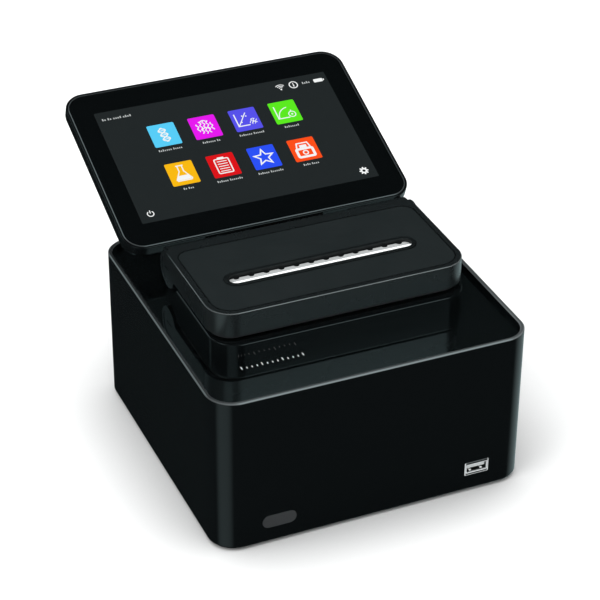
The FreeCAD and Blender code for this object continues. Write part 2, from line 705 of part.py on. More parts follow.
def lid_underplate():
    piece = Piece("lid_underplate")
    outline = piece.sketch("XY", "lid_bottom - underplate_drop")
    gap = "(lid_wall + 0.15)"
    sides = (*both_sides(f"lid_half - {gap}"), f"{gap} - lid_front", "hinge_y - underplate_rear")
    draw_outline(outline, sides, [f"lid_corner - {gap}", "1", "1", f"lid_corner - {gap}"])
    piece.pad(outline, "underplate")
    wells = piece.sketch("XY", "lid_bottom - underplate_drop")
    draw_circle(wells, first_position(), "sample_y", "window + running")
    feature = piece.pocket(wells, "3", back=True)
    piece.row(feature, "position_pitch * (position_count - 1)", "position_count")
    magnets = piece.sketch("XY", "lid_bottom - underplate_drop")
    for side in (-1, 1):
        draw_circle(magnets, f"{side} * magnet_x", "sample_y", "magnet + play")
    piece.pocket(magnets, "magnet_depth", back=True)
    return piece.finish()


def lid_mirrors():
    mirrors = positions("mirror", "window", "mirror_height", "lid_bottom - underplate_drop + 0.2")
    return node("lid_mirrors", group("mirror_set", mirrors))


def lid_magnets():
    discs = []
    for side in (-1, 1):
        at = (f"{side} * magnet_x", "sample_y", "lid_bottom - underplate_drop + 0.2")
        discs.append(rod(f"lid_magnet_{side + 1}", "magnet", "magnet_depth - 0.3", at))
    return node("lid_magnets", group("lid_magnet_set", discs))


def hinge_bushes():
    """Flanged polymer bushes in the lid's knuckles."""
    bushes = []
    for side in (-1, 1):
        low = "lid_half - knuckle_width" if side > 0 else "-lid_half + cap_seat"
        bush = ring(f"hinge_bush_{side + 1}", "bush", "hinge_pin + running", "knuckle_width - cap_seat",
                    (low, "hinge_y", "hinge_z"), "X")
        bushes.append(bush)
    return node("hinge_bushes", group("hinge_bush_set", bushes))


def hinge_caps():
    caps = []
    for side in (-1, 1):
        low = "lid_half - 1.4" if side > 0 else "-lid_half + 0.4"
        disc = rod(f"hinge_cap_disc_{side + 1}", "knuckle - 2.4", "1", (low, "hinge_y", "hinge_z"), "X")
        corner = (f"{side} * (lid_half - 0.65) - 0.3", "hinge_y - 4", "hinge_z - 0.5")
        line = box(f"hinge_cap_slit_{side + 1}", corner, ("0.6", "8", "1"))
        caps.append(cut(f"hinge_cap_{side + 1}", disc, [line]))
    return node("hinge_caps", group("hinge_cap_set", caps))


# ---------------------------------------------------------------- screen hinge
def screen_hinge_housing():
    """The fixed bracket behind the lid: a foot on the deck, a front wall in the lid's notch, two lugs."""
    foot = box("housing_foot", ("-housing_half", "block_rear + 0.2", DECK_Z),
               ("2 * housing_half", "housing_depth", "sheet"))
    wall = box("housing_wall", ("-housing_half", "block_rear + 5", DECK_Z), ("2 * housing_half", "3", "8"))
    lugs = []
    for side in (-1, 1):
        low = f"{side} * (lug_inner + lug_width / 2) - lug_width / 2"
        eye = rod(f"lug_eye_{side + 1}", "tilt_knuckle", "lug_width", (low, "tilt_y", "tilt_z"), "X")
        web = box(f"lug_web_{side + 1}", (low, "tilt_y - 16", DECK_Z), ("lug_width", "16", "4.8"))
        lugs += [eye, web]
    solid = fuse("housing_solid", [foot, wall, *lugs])
    pin_bore = rod("housing_bore", "tilt_pin + running", "70", ("-35", "tilt_y", "tilt_z"), "X")
    clear = box("housing_cable_way", ("-way_half", "way_front", DECK_Z),
                ("2 * way_half", "way_rear - way_front", "12"))
    half = "(lug_inner - play)"
    sweep = rod("housing_sweep", "tilt_knuckle + 0.8", f"2 * {half}", (f"-{half}", "tilt_y", "tilt_z"), "X")
    return node("screen_hinge_housing", cut("housing_cut", solid, [pin_bore, clear, sweep]))


def screen_hinge_pin():
    pin = rod("tilt_pin_rod", "tilt_pin", "2 * tilt_pin_half", ("-tilt_pin_half", "tilt_y", "tilt_z"), "X")
    return node("screen_hinge_pin", pin)


def friction_washers():
    washers = []
    for side in (-1, 1):
        low = f"{side} * (lug_inner - washer / 2 - 0.2) - washer / 2"
        washers.append(ring(f"washer_{side + 1}", "tilt_knuckle - 0.4", "tilt_pin + running", "washer",
                            (low, "tilt_y", "tilt_z"), "X"))
    return node("friction_washers", group("washer_set", washers))


def tilt_offset(word):
    """The tilt axis in the screen's own frame."""
    dy, dz = "(tilt_y - screen_y)", "(tilt_z - screen_z)"
    if word == "y":
        return f"({dy} * cos(tilt * 1deg) + {dz} * sin(tilt * 1deg))"
    return f"({dz} * cos(tilt * 1deg) - {dy} * sin(tilt * 1deg))"


def screen_arms():
    """The moving half of the tilt hinge: a plate with two knuckles, notched for the display's cable."""
    piece = Piece("screen_arms")
    plate = piece.sketch("XY", "-screen_thick - 2")
    low = tilt_offset("y")
    draw_outline(plate, (*both_sides("arm_plate_half"), f"{low} - 1", f"{low} + arm_reach"))
    piece.pad(plate, "arm_plate")
    for side in (-1, 1):
        knuckle = piece.sketch("YZ", f"{side} * arm_knuckle_offset")
        draw_circle(knuckle, tilt_offset("y"), tilt_offset("z"), "tilt_knuckle - 0.1")
        piece.pad(knuckle, "arm_knuckle", both=True)
    bore = piece.sketch("YZ", "0")
    draw_circle(bore, tilt_offset("y"), tilt_offset("z"), "tilt_pin + running")
    piece.pocket(bore, "60", both=True)
    holes = piece.sketch("XY", "-screen_thick - 2")
    for x, up in arm_screw_places():
        draw_circle(holes, x, up, "screw + play")
    draw_outline(holes, (*both_sides("tail_half + 1"), f"{low} - 1.5", f"{low} + tail_far + 1"))
    piece.pocket(holes, "2", back=True)
    return piece.finish(tilted=True)


def arm_screw_places():
    return [(x, f"{tilt_offset('y')} + {up}") for x in ("-15", "15") for up in (16, 34)]


def arm_screws():
    piece = Piece("arm_screws")
    heads = piece.sketch("XY", "-screen_thick - 3.3")
    shanks = piece.sketch("XY", "-screen_thick - 3.3")
    for x, up in arm_screw_places():
        draw_circle(heads, x, up, "screw * 1.8")
        draw_circle(shanks, x, up, "screw - running")
    piece.body.AllowCompound = True
    piece.pad(heads, "1.3")
    piece.pad(shanks, "6")
    return piece.finish(tilted=True)


# ---------------------------------------------------------------- touchscreen
def screen_sides(margin):
    return (*both_sides(f"screen_half - ({margin})"), f"screen_low + {margin}", f"screen_high - ({margin})")


def screen_back_shell():
    piece = Piece("screen_back_shell")
    outline = piece.sketch("XY", "-screen_thick")
    draw_outline(outline, screen_sides("0"), ["screen_corner"] * 4)
    piece.pad(outline, "screen_thick")
    piece.dress("Fillet", "back_round", level_at(value("-screen_thick")))
    piece.dress("Fillet", "0.5", level_at(0))
    hollow = piece.sketch("XY", "0")
    draw_outline(hollow, screen_sides("rim"), ["screen_corner - rim"] * 4)
    piece.pocket(hollow, "glass + 0.1")
    cavity = piece.sketch("XY", "0")
    draw_outline(cavity, screen_sides("rim + 4"), ["screen_corner - rim - 4"] * 4)
    piece.pocket(cavity, "screen_thick - 2")
    holes = piece.sketch("XY", "-screen_thick")
    for x, up in arm_screw_places():
        draw_circle(holes, x, up, "screw")
    low = tilt_offset("y")
    draw_outline(holes, (*both_sides("tail_half"), f"{low} + tail_near", f"{low} + tail_far"))
    piece.pocket(holes, "2.5", back=True)
    return piece.finish(tilted=True)


def screen_pieces():
    corner = "screen_corner - rim - play"
    slab("screen_glass", screen_sides("rim + play"), "-glass", "-0.1", corner, tilted=True)
    view = (*both_sides("view_half + 3"), "view_low - 5", "view_high + 3")
    slab("lcd_module", view, "-glass - lcd", "-glass", tilted=True)
    board = ("-60", "60", "60", "115")
    slab("screen_board", board, "-glass - 5", "-glass - 3.4", "2", tilted=True)


# ---------------------------------------------------------------- front port
def front_port():
    shell_sides = port_sides("port_width", "port_height")
    shell = Piece("front_usb_shell")
    outer = shell.sketch("XZ", FRONT_Y)
    draw_outline(outer, shell_sides, ["0.6"] * 4)
    shell.pad(outer, "port_depth", back=True)
    inner = shell.sketch("XZ", FRONT_Y)
    mouth = port_sides("(port_width - 2 * port_wall)", "(port_height - 2 * port_wall)")
    draw_outline(inner, mouth, ["0.3"] * 4)
    shell.pocket(inner, "port_depth - port_wall_end")
    for x in ("port_x - port_spring", "port_x + port_spring"):
        slot = shell.sketch("XY", "port_z")
        draw_outline(slot, (f"{x} - 0.9", f"{x} + 0.9", f"{FRONT_Y} + 2.5", f"{FRONT_Y} + 7"))
        shell.pocket(slot, "port_height", back=True)
    shell.finish()

    tongue = Piece("front_usb_tongue")
    blade = tongue.sketch("XZ", f"{FRONT_Y} + 1.2")
    draw_outline(blade, ("port_x - blade_half", "port_x + blade_half", "port_z - 0.2", "port_z + 1.7"))
    tongue.pad(blade, "port_depth - 2.4", back=True)
    tongue.finish()

    contacts = []
    for k in range(4):
        low = (f"port_x + ({k} - 1.5) * contact_pitch - 0.5", f"{FRONT_Y} + 2", "port_z - 0.5")
        contacts.append(box(f"contact_{k}", low, ("1", "8", "0.28")))
    node("front_usb_contacts", group("contact_set", contacts))

    frame = Piece("front_usb_frame")
    outer = frame.sketch("XZ", FRONT_Y)
    rim = port_sides("(port_frame_width - 2 * play)", "(port_frame_height - 2 * play)")
    draw_outline(outer, rim, ["0.7"] * 4)
    frame.pad(outer, "wall", back=True)
    hole = frame.sketch("XZ", FRONT_Y)
    draw_outline(hole, port_sides("(port_width + 2 * play)", "(port_height + 2 * play)"), ["0.6"] * 4)
    frame.pocket(hole, "wall")
    front = value(FRONT_Y)
    frame.dress("Chamfer", "0.3", lambda e: all(abs(v.Y - front) < 1e-4 for v in e.Vertexes)
                and max(abs(v.X - value("port_x")) for v in e.Vertexes) > value("port_width / 2 + 0.3"))
    frame.finish()


# ---------------------------------------------------------------- rear panel
def rear_cutouts():
    """Each opening in the rear panel: centre, width and height."""
    return {
        "rocker": ("rocker_x", "13.2", "19.2"),
        "network": ("network_x", "16.2", "13.7"),
        "usb_pair": ("usb_x", "13.4", "15.4"),
        "video": ("video_x", "15.4", "6"),
    }


def centred(x, width, height):
    return (f"{x} - {width} / 2", f"{x} + {width} / 2",
            f"socket_z - {height} / 2", f"socket_z + {height} / 2")


def rear_panel():
    piece = Piece("rear_panel")
    outline = piece.sketch("XZ", REAR_FACE)
    sides = (*both_sides("rear_half + rear_lap"), "rear_low - rear_lap - 1", "rear_high + rear_lap + 1")
    draw_outline(outline, sides, ["3"] * 4)
    piece.pad(outline, "sheet")
    openings = piece.sketch("XZ", REAR_FACE)
    for x, width, height in rear_cutouts().values():
        draw_outline(openings, centred(x, width, height))
    draw_circle(openings, "inlet_x", "socket_z", "inlet_radius + play")
    piece.pocket(openings, "2 * sheet", both=True)
    vents = piece.sketch("XZ", REAR_FACE)
    for k in range(9):
        draw_outline(vents, (f"{k * 6 - 25}", f"{k * 6 - 22}", "rear_low + 3", "rear_low + 9"))
    piece.pocket(vents, "2 * sheet", both=True)
    return piece.finish()


def rear_ports():
    body = Piece("network_jack")
    outer = body.sketch("XZ", REAR_FACE)
    draw_outline(outer, centred("network_x", "16", "13.5"))
    body.pad(outer, "18")
    mouth = body.sketch("XZ", REAR_FACE)
    draw_outline(mouth, centred("network_x", "11.8", "8"))
    body.pocket(mouth, "28", both=True)
    body.finish()

    usb = Piece("rear_usb_ports")
    outer = usb.sketch("XZ", REAR_FACE)
    draw_outline(outer, centred("usb_x", "13.2", "15.2"))
    usb.pad(outer, "17")
    mouths = usb.sketch("XZ", REAR_FACE)
    for height in ("socket_z - 3.8", "socket_z + 3.8"):
        draw_outline(mouths, ("usb_x - 6.1", "usb_x + 6.1", f"{height} - 2.5", f"{height} + 2.5"))
    usb.pocket(mouths, "24", both=True)
    tongues = usb.sketch("XZ", f"{REAR_FACE} - 2")
    for height in ("socket_z - 3.8", "socket_z + 3.8"):
        sides = ("usb_x - blade_half", "usb_x + blade_half", f"{height} + 0.2", f"{height} + 2")
        draw_outline(tongues, sides)
    usb.pad(tongues, "14")
    usb.finish()

    video = Piece("video_port")
    outer = video.sketch("XZ", REAR_FACE)
    draw_outline(outer, centred("video_x", "15.2", "5.8"))
    video.pad(outer, "12")
    mouth = video.sketch("XZ", REAR_FACE)
    draw_outline(mouth, centred("video_x", "14.2", "4.8"))
    video.pocket(mouth, "20", both=True)
    video.finish()

    at = ("inlet_x", f"{REAR_FACE} - 14", "socket_z")
    inlet = ring("inlet", "inlet_radius", "3.2", "14", at, "Y")
    pin = rod("inlet_pin", "1", "11", at, "Y")
    back = rod("inlet_back", "inlet_radius", "2", ("inlet_x", f"{REAR_FACE} - 16", "socket_z"), "Y")
    node("power_inlet", fuse("inlet_all", [inlet, pin, back]))


def rocker_frame():
    """The switch's fixed housing: a flange on the panel and a box behind it."""
    x = rear_cutouts()["rocker"][0]
    piece = Piece("rocker_frame")
    outer = piece.sketch("XZ", f"{REAR_FACE} + flange")
    draw_outline(outer, centred(x, "15", "21"), ["1.2"] * 4)
    piece.pad(outer, "flange - running")
    body = piece.sketch("XZ", f"{REAR_FACE} + 0.5")
    draw_outline(body, centred(x, "13", "19"))
    piece.pad(body, "16")
    well = piece.sketch("XZ", f"{REAR_FACE} + flange")
    draw_outline(well, centred(x, "10.6", "16.6"))
    piece.pocket(well, "11", back=True)
    bore = piece.sketch("YZ", x)
    draw_circle(bore, ROCKER_Y, "socket_z", "trunnion + running")
    piece.pocket(bore, "12", both=True)
    return piece.finish()


def power_rocker():
    """A shallow V of two paddles on a trunnion, resting on its off side."""
    x = rear_cutouts()["rocker"][0]
    piece = Piece("power_rocker")
    body = piece.sketch("YZ", f"{x} - 5")
    points = rocker_outline()
    for k, point in enumerate(points):
        line = Part.LineSegment(point, points[(k + 1) % len(points)])
        body.addGeometry(line, False)
    count = len(points)
    for k in range(count):
        body.addConstraint(Sketcher.Constraint("Coincident", k, 2, (k + 1) % count, 1))
    for k, (along, up) in enumerate(rocker_steps()):
        hold(body, "DistanceX", -1, 1, k, 1, along)
        hold(body, "DistanceY", -1, 1, k, 1, up)
    piece.pad(body, "10")
    trunnion = piece.sketch("YZ", f"{x} - 5.9")
    draw_circle(trunnion, ROCKER_Y, "socket_z", "trunnion")
    piece.pad(trunnion, "11.8")
    return piece.finish()


def rocker_steps():
    """The rocker's side outline about its trunnion, turned to its off position."""
    half = "rocker_throw / 2 * 1deg"
    steps = []
    for along, up in ((-2.5, -2.4), (3.2, -7.8), (5, -7.6), (3.4, 0), (5, 7.6), (3.2, 7.8), (-2.5, 2.4)):
        y = f"{ROCKER_Y} + ({along}) * cos({half}) - ({up}) * sin({half})"
        z = f"socket_z + ({along}) * sin({half}) + ({up}) * cos({half})"
        steps.append((y, z))
    return steps


def rocker_outline():
    return [V(value(y), value(z), 0) for y, z in rocker_steps()]


# ---------------------------------------------------------------- electronics and optics
def main_board():
    piece = slab("main_board", ("-62", "48", "5", "78"), "board_z", "board_z + board", "3")
    chips = piece.sketch("XY", "board_z + board")
    for left, width, low, depth in ((-20, 22, 20, 22), (12, 12, 26, 12), (12, 12, 42, 12), (-52, 18, 14, 10)):
        draw_outline(chips, (f"{left}", f"{left + width}", f"{low}", f"{low + depth}"))
    piece.pad(chips, "chip")
    holes = piece.sketch("XY", "board_z")
    for x, y in board_corners():
        draw_circle(holes, x, y, "screw + play")
    piece.pocket(holes, "board", back=True)


def board_corners():
    return [(x, y) for x in ("-57", "43") for y in ("10", "73")]


def standoffs():
    posts = []
    for k, (x, y) in enumerate(board_corners()):
        posts.append(ring(f"standoff_{k}", "3", "screw + play", f"board_z - {FLOOR_TOP}", (x, y, FLOOR_TOP)))
    return node("board_standoffs", group("standoff_set", posts))


def board_screws():
    screws = []
    for k, (x, y) in enumerate(board_corners()):
        head = rod(f"board_screw_head_{k}", "2.7", "1.6", (x, y, "board_z + board"))
        shank = rod(f"board_screw_shank_{k}", "screw", "8", (x, y, "board_z + board - 8"))
        screws.append(fuse(f"board_screw_{k}", [head, shank]))
    return node("board_screws", group("board_screw_set", screws))


def heat_sink():
    base = box("sink_base", ("-21", "19", "board_z + board + chip"), ("24", "24", "2"))
    fins = []
    for k in range(7):
        corner = (f"{3.8 * k - 21:.1f}", "19", "board_z + board + chip + 2")
        fins.append(box(f"sink_fin_{k}", corner, ("1.2", "24", "8")))
    return node("heat_sink", fuse("sink", [base, *fins]))


def power_board():
    piece = slab("power_board", ("-84", "-68", "-40", "60"), "10", "11.6")
    parts = piece.sketch("XY", "11.6")
    for low, depth in ((-34, 20), (-6, 26), (30, 14)):
        draw_outline(parts, ("-82", "-70", f"{low}", f"{low + depth}"))
    piece.pad(parts, "14")


def battery_pack():
    cells = []
    for k in range(3):
        cells.append(rod(f"cell_{k}", "cell_radius", "cell_length", (f"{19 * k - 50}", "-78", "14"), "Y"))
    tray = box("cell_tray", ("-60", "-79", FLOOR_TOP), ("57", "67", "9"))
    return node("battery_pack", fuse("pack", [tray, *cells]))


def equipment_bracket():
    """The bent sheet-metal table that carries the optics above the boards."""
    top = box("bracket_top", ("-66", "-60", "optics_z - 2"), ("132", "126", "2"))
    sides = []
    for k, x in enumerate(("-66", "64")):
        size = ("2", "126", f"optics_z - {FLOOR_TOP}")
        sides.append(box(f"bracket_side_{k}", (x, "-60", FLOOR_TOP), size))
    windows = []
    for k, x in enumerate(("-67", "63")):
        windows.append(box(f"bracket_window_{k}", (x, "-48", "10"), ("4", "102", "26")))
    return node("equipment_bracket", cut("bracket", fuse("bracket_solid", [top, *sides]), windows))


def spectrometer():
    sides = ("-20", "56", "-20", "58")
    base = Piece("spectrometer_housing")
    outline = base.sketch("XY", "optics_z")
    draw_outline(outline, sides, ["5"] * 4)
    base.pad(outline, "optics_height")
    hollow = base.sketch("XY", "optics_z + optics_height")
    draw_outline(hollow, ("-17", "53", "-17", "55"), ["3"] * 4)
    base.pocket(hollow, "optics_height - optics_wall")
    slit = base.sketch("XZ", "-20")
    draw_circle(slit, "10", "beam_z", "1.6")
    base.pocket(slit, "4")
    base.finish()
    slab("spectrometer_cover", sides, "optics_z + optics_height", "optics_z + optics_height + sheet", "5")
    grating = box("grating_block", ("-10", "42", "optics_z + 3"), ("18", "6", "16"))
    node("diffraction_grating", grating)
    mirror = cut("mirror_dish", rod("mirror_disc", "9", "6", ("38", "44", "optics_z + 12.2"), "Y"),
                 [rod("mirror_hollow", "6", "1", ("38", "44", "optics_z + 12.2"), "Y")])
    node("collimating_mirror", mirror)
    sensor = fuse("sensor_all", [box("sensor_board", ("40", "-12", "optics_z + 4"), ("10", "1.6", "14")),
                                 box("sensor_chip", ("42", "-10.4", "optics_z + 9"), ("6", "2.4", "4"))])
    node("detector_board", sensor)


def lamp():
    housing = cut("lamp_case", box("lamp_block", ("-60", "0", "optics_z"), ("32", "44", "26")),
                  [rod("lamp_chamber", "9", "36", ("lamp_x", "-1", "optics_z + 13"), "Y")])
    node("lamp_housing", housing)
    bulb = fuse("bulb", [rod("bulb_glass", "6", "22", ("lamp_x", "6", "optics_z + 13"), "Y"),
                         rod("bulb_base", "8", "6", ("lamp_x", "28", "optics_z + 13"), "Y")])
    node("xenon_lamp", bulb)
    slab("lamp_board", ("-60", "-28", "48", "62"), "optics_z + 3", "optics_z + 4.6")


def swept_cable(name, points, radius):
    """A round cable through a list of points, rounded where it turns."""
    path = Part.BSplineCurve()
    path.interpolate([V(*point) for point in points])
    wire = Part.Wire(path.toShape())
    start, tangent = path.value(path.FirstParameter), path.tangent(path.FirstParameter)[0]
    ring_edge = Part.Wire(Part.makeCircle(radius, start, tangent))
    thing = doc.addObject("Part::Feature", f"{name}_cable")
    thing.Shape = wire.makePipeShell([ring_edge], True, True)
    return node(name, thing)


def cables():
    manifold_low = value(f"{BLOCK_TOP} - block_wall - bar_drop")
    optics = value("optics_z")
    sample = value("sample_y")
    slit_y = -20.5
    points = [(10, sample - 14, manifold_low - 6), (10, sample - 22, optics + 26),
              (10, sample - 20, optics + 12), (10, slit_y, optics + 11)]
    swept_cable("fibre_bundle", points, 1.4)
    deck = value(DECK_Z)
    points = [(0, 49.5, deck + 6), (0, 49.5, deck + 1), (0, 49.5, deck - 4), (-1, 51, deck - 10),
              (-4, 62, optics + 28), (-6, 70, optics + 10), (-6, 71, optics - 10),
              (-6, 70, value("board_z") + 5)]
    swept_cable("display_cable", points, 1.8)


# ---------------------------------------------------------------- build, check and write
def build():
    enclosure_shell()
    base_plate()
    rubber_mat()
    case_screws()
    deck_plate()
    badge_plate()
    stage_block()
    sample_plate()
    sample_windows()
    fibre_ferrules()
    fibre_manifold()
    stage_magnets()
    hinge_tube()
    hinge_pins()
    lid_shell()
    lid_panel()
    slot_bezel()
    position_strip()
    lid_underplate()
    lid_mirrors()
    lid_magnets()
    hinge_bushes()
    hinge_caps()
    screen_hinge_housing()
    screen_hinge_pin()
    friction_washers()
    screen_arms()
    arm_screws()
    screen_back_shell()
    screen_pieces()
    front_port()
    rear_panel()
    rear_ports()
    rocker_frame()
    power_rocker()
    main_board()
    standoffs()
    board_screws()
    heat_sink()
    power_board()
    battery_pack()
    equipment_bracket()
    spectrometer()
    lamp()
    cables()


def check():
    doc.recompute()
    for thing in doc.Objects:
        if "Invalid" in thing.State or "Error" in thing.State:
            raise ValueError(f"{thing.Name} did not compute: {thing.State}")
    for name, thing in NODES.items():
        shape = thing.Shape
        if shape.isNull() or not shape.isValid() or not shape.Solids:
            raise ValueError(f"{name} has no valid solid")


def write():
    os.makedirs("parts", exist_ok=True)
    for name, thing in NODES.items():
        thing.Shape.exportStep(os.path.join("parts", f"{name}.step"))
    print(len(NODES), "sub-parts written")


build()
check()
write()
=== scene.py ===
"""Looks of the benchtop spectrophotometer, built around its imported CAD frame."""

import json
import math

import bmesh
import bpy
from mathutils import Matrix, Vector

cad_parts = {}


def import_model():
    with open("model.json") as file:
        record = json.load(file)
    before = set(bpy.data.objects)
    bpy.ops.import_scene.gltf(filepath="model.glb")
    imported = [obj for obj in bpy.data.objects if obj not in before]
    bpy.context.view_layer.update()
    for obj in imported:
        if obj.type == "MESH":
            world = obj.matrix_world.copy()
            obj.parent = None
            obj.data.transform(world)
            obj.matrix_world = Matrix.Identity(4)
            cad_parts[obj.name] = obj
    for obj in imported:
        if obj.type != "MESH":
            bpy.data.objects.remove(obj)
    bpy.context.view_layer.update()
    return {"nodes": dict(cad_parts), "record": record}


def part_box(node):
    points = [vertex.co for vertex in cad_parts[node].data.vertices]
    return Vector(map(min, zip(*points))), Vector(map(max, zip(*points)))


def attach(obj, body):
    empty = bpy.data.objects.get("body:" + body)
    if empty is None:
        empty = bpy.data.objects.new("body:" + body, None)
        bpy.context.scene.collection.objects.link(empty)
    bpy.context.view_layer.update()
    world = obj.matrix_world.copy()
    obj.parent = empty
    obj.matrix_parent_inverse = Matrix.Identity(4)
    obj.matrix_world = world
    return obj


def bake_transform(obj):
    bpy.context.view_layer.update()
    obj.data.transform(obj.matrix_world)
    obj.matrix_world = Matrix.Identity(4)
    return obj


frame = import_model()
NODES = frame["nodes"]
MM = 0.001


# ---------------------------------------------------------------- node helpers
class Shader:
    """A material's node tree, with short calls for the nodes used here."""

    def __init__(self, name, color=(0.5, 0.5, 0.5), roughness=0.5, metallic=0.0, coat=0.0):
        self.material = bpy.data.materials.new(name)
        self.material.use_nodes = True
        self.tree = self.material.node_tree
        self.surface = self.tree.nodes["Principled BSDF"]
        self.set("Base Color", (*color, 1))
        self.set("Roughness", roughness)
        self.set("Metallic", metallic)
        self.set("Coat Weight", coat)
        self.material.diffuse_color = (*color, 1)

    def set(self, socket, value):
        self.surface.inputs[socket].default_value = value

    def node(self, kind, **inputs):
        """A node with its inputs set or linked; an underscore in a key stands for a space."""
        made = self.tree.nodes.new(f"ShaderNode{kind}")
        for key, value in inputs.items():
            socket = made.inputs[key.replace("_", " ")]
            if isinstance(value, bpy.types.NodeSocket):
                self.tree.links.new(value, socket)
            else:
                socket.default_value = value
        return made

    def link(self, out, socket):
        self.tree.links.new(out, self.surface.inputs[socket])

    def place(self, stretch=(1, 1, 1)):
        """Object coordinates in metres, stretched along each axis."""
        made = self.node("Mapping", Vector=self.node("TexCoord").outputs["Object"])
        made.inputs["Scale"].default_value = stretch
        return made.outputs["Vector"]

    def axis(self, word):
        """The object coordinate along one axis, in metres."""
        made = self.node("SeparateXYZ", Vector=self.node("TexCoord").outputs["Object"])
        return made.outputs[word]

    def number(self, kind, first, second=0.0):
        """A sum, product or other arithmetic step on patterns and numbers."""
        made = self.tree.nodes.new("ShaderNodeMath")
        made.operation = kind
        for socket, value in zip(made.inputs, (first, second)):
            if isinstance(value, bpy.types.NodeSocket):
                self.tree.links.new(value, socket)
            else:
                socket.default_value = value
        return made.outputs[0]

    def noise(self, scale, detail=3, stretch=(1, 1, 1)):
        made = self.node("TexNoise", Vector=self.place(stretch), Scale=scale, Detail=detail)
        return made.outputs["Fac"]

    def ramp(self, value, low, high, start=0.3, end=0.7):
        """Maps a value between start and end onto a range of numbers, and stops at both."""
        made = self.node("MapRange", Value=value)
        for key, number in (("From Min", start), ("From Max", end), ("To Min", low), ("To Max", high)):
            made.inputs[key].default_value = number
        return made.outputs["Result"]

    def blend(self, factor, first, second):
        """A colour between two, by a 0 to 1 pattern."""
        made = self.tree.nodes.new("ShaderNodeMix")
        made.data_type = "RGBA"
        self.tree.links.new(factor, made.inputs["Factor"])
        made.inputs["A"].default_value = (*first, 1)
        made.inputs["B"].default_value = (*second, 1)
        return made.outputs["Result"]

    def bump(self, height, strength, depth):
        made = self.node("Bump", Height=height, Strength=strength, Distance=depth)
        self.link(made.outputs["Normal"], "Normal")

    def band(self, top, below, above):
        """A line round a rim: 1 between two depths under the top, in millimetres, and 0 elsewhere."""
        height, soft = self.axis("Z"), 0.1 * MM
        start = self.ramp(height, 0, 1, top - below * MM - soft, top - below * MM)
        end = self.ramp(height, 1, 0, top - above * MM, top - above * MM + soft)
        return self.number("MULTIPLY", start, end)

    def highlight_fade_left(self, left, least):
        """1 over most of a part, falling to a least value close to its left side: it dims a painted
        highlight there.
        """
        near, far = left + 1 * MM, left + 14 * MM
        return self.ramp(self.axis("X"), least, 1, near, far)

    def wear(self, low, high, scale=35):
        """Faint smudges: the roughness wanders between two values."""
        self.link(self.ramp(self.noise(scale, 4), low, high), "Roughness")


GLOSS_BASE = (0.0026, 0.0034, 0.0037)
SATIN_BASE = (0.0078, 0.0104, 0.0111)
# Painted shade: the dark colour of the port's surround and of the inside of its mouth.
CAVITY_SHADE = (0.010, 0.012, 0.012)


def gloss_black(name="gloss_black"):
    """High gloss moulding with a trace of orange peel."""
    shader = Shader(name, GLOSS_BASE)
    shader.wear(0.06, 0.11)
    shader.bump(shader.noise(260, 2), strength=0.04, depth=0.0004)
    return shader


def rimmed_gloss():
    """The enclosure's moulding, with a painted highlight: a pale line round its open rim, painted dimmer
    near its left side.
    """
    shader = gloss_black("rimmed_gloss")
    low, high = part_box("enclosure_shell")
    # Painted highlight: the base colour turns pale in a thin band under the rim's top, less so on the left.
    rim = shader.band(high.z, below=0.6, above=0.05)
    highlight_line = shader.number("MULTIPLY", rim, shader.highlight_fade_left(low.x, least=0.4))
    shader.link(shader.blend(highlight_line, GLOSS_BASE, (0.098, 0.108, 0.112)), "Base Color")
    return shader.material


def deck_gloss():
    """The deck's mirror lacquer: it doubles what stands on it."""
    shader = Shader("deck_gloss", GLOSS_BASE)
    shader.wear(0.015, 0.04)
    mirror = shader.node("BsdfAnisotropic", Color=(0.50, 0.55, 0.56, 1), Roughness=0.06)
    mixed = shader.node("MixShader", Fac=0.55)
    shader.tree.links.new(shader.surface.outputs[0], mixed.inputs[1])
    shader.tree.links.new(mirror.outputs[0], mixed.inputs[2])
    output = shader.tree.nodes["Material Output"]
    shader.tree.links.new(mixed.outputs[0], output.inputs["Surface"])
    return shader.material


def satin_black():
    """Fine spark-eroded moulding, with a painted highlight: a thin pale line along the lid's top edge,
    fading towards the rear and near the left side.
    """
    shader = Shader("satin_black", SATIN_BASE, coat=0.5)
    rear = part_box("lid_panel")[1].y
    low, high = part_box("lid_shell")
    # Painted highlight: a pale band in the base colour under the lid's top edge, faded towards the rear and
    # the left.
    ahead = shader.ramp(shader.axis("Y"), 1, 0, rear - 16 * MM, rear - 6 * MM)
    front = shader.number("MULTIPLY", ahead, shader.highlight_fade_left(low.x, least=0.5))
    highlight_line = shader.number("MULTIPLY", shader.band(high.z, below=0.42, above=0.14), front)
    shader.link(shader.blend(highlight_line, SATIN_BASE, (0.085, 0.094, 0.096)), "Base Color")
    shader.set("Coat Roughness", 0.16)
    shader.set("Specular IOR Level", 0.8)
    shader.wear(0.24, 0.32)
    shader.bump(shader.noise(2600, 2), strength=0.12, depth=0.00006)
    return shader.material


def panel_grey():
    """The lid's inset panel: fine matt grain."""
    shader = Shader("panel_grey", roughness=0.62)
    grain = shader.noise(1900, 3)
    shader.link(shader.blend(grain, (0.0076, 0.0119, 0.0129), (0.0102, 0.0153, 0.0163)), "Base Color")
    shader.link(shader.ramp(shader.noise(60, 3), 0.56, 0.68), "Roughness")
    shader.bump(grain, strength=0.25, depth=0.00008)
    return shader.material


def lip_black():
    """The slot's lip, a shade darker than the panel."""
    shader = Shader("lip_black", roughness=0.5)
    grain = shader.noise(1900, 3)
    shader.link(shader.blend(grain, (0.0040, 0.0058, 0.0062), (0.0056, 0.0078, 0.0083)), "Base Color")
    shader.bump(grain, strength=0.2, depth=0.00006)
    return shader.material


def screen_glass():
    """Dark cover glass."""
    shader = Shader("screen_glass", (0.0016, 0.0022, 0.0024), coat=0.1)
    shader.wear(0.05, 0.09, 22)
    return shader.material


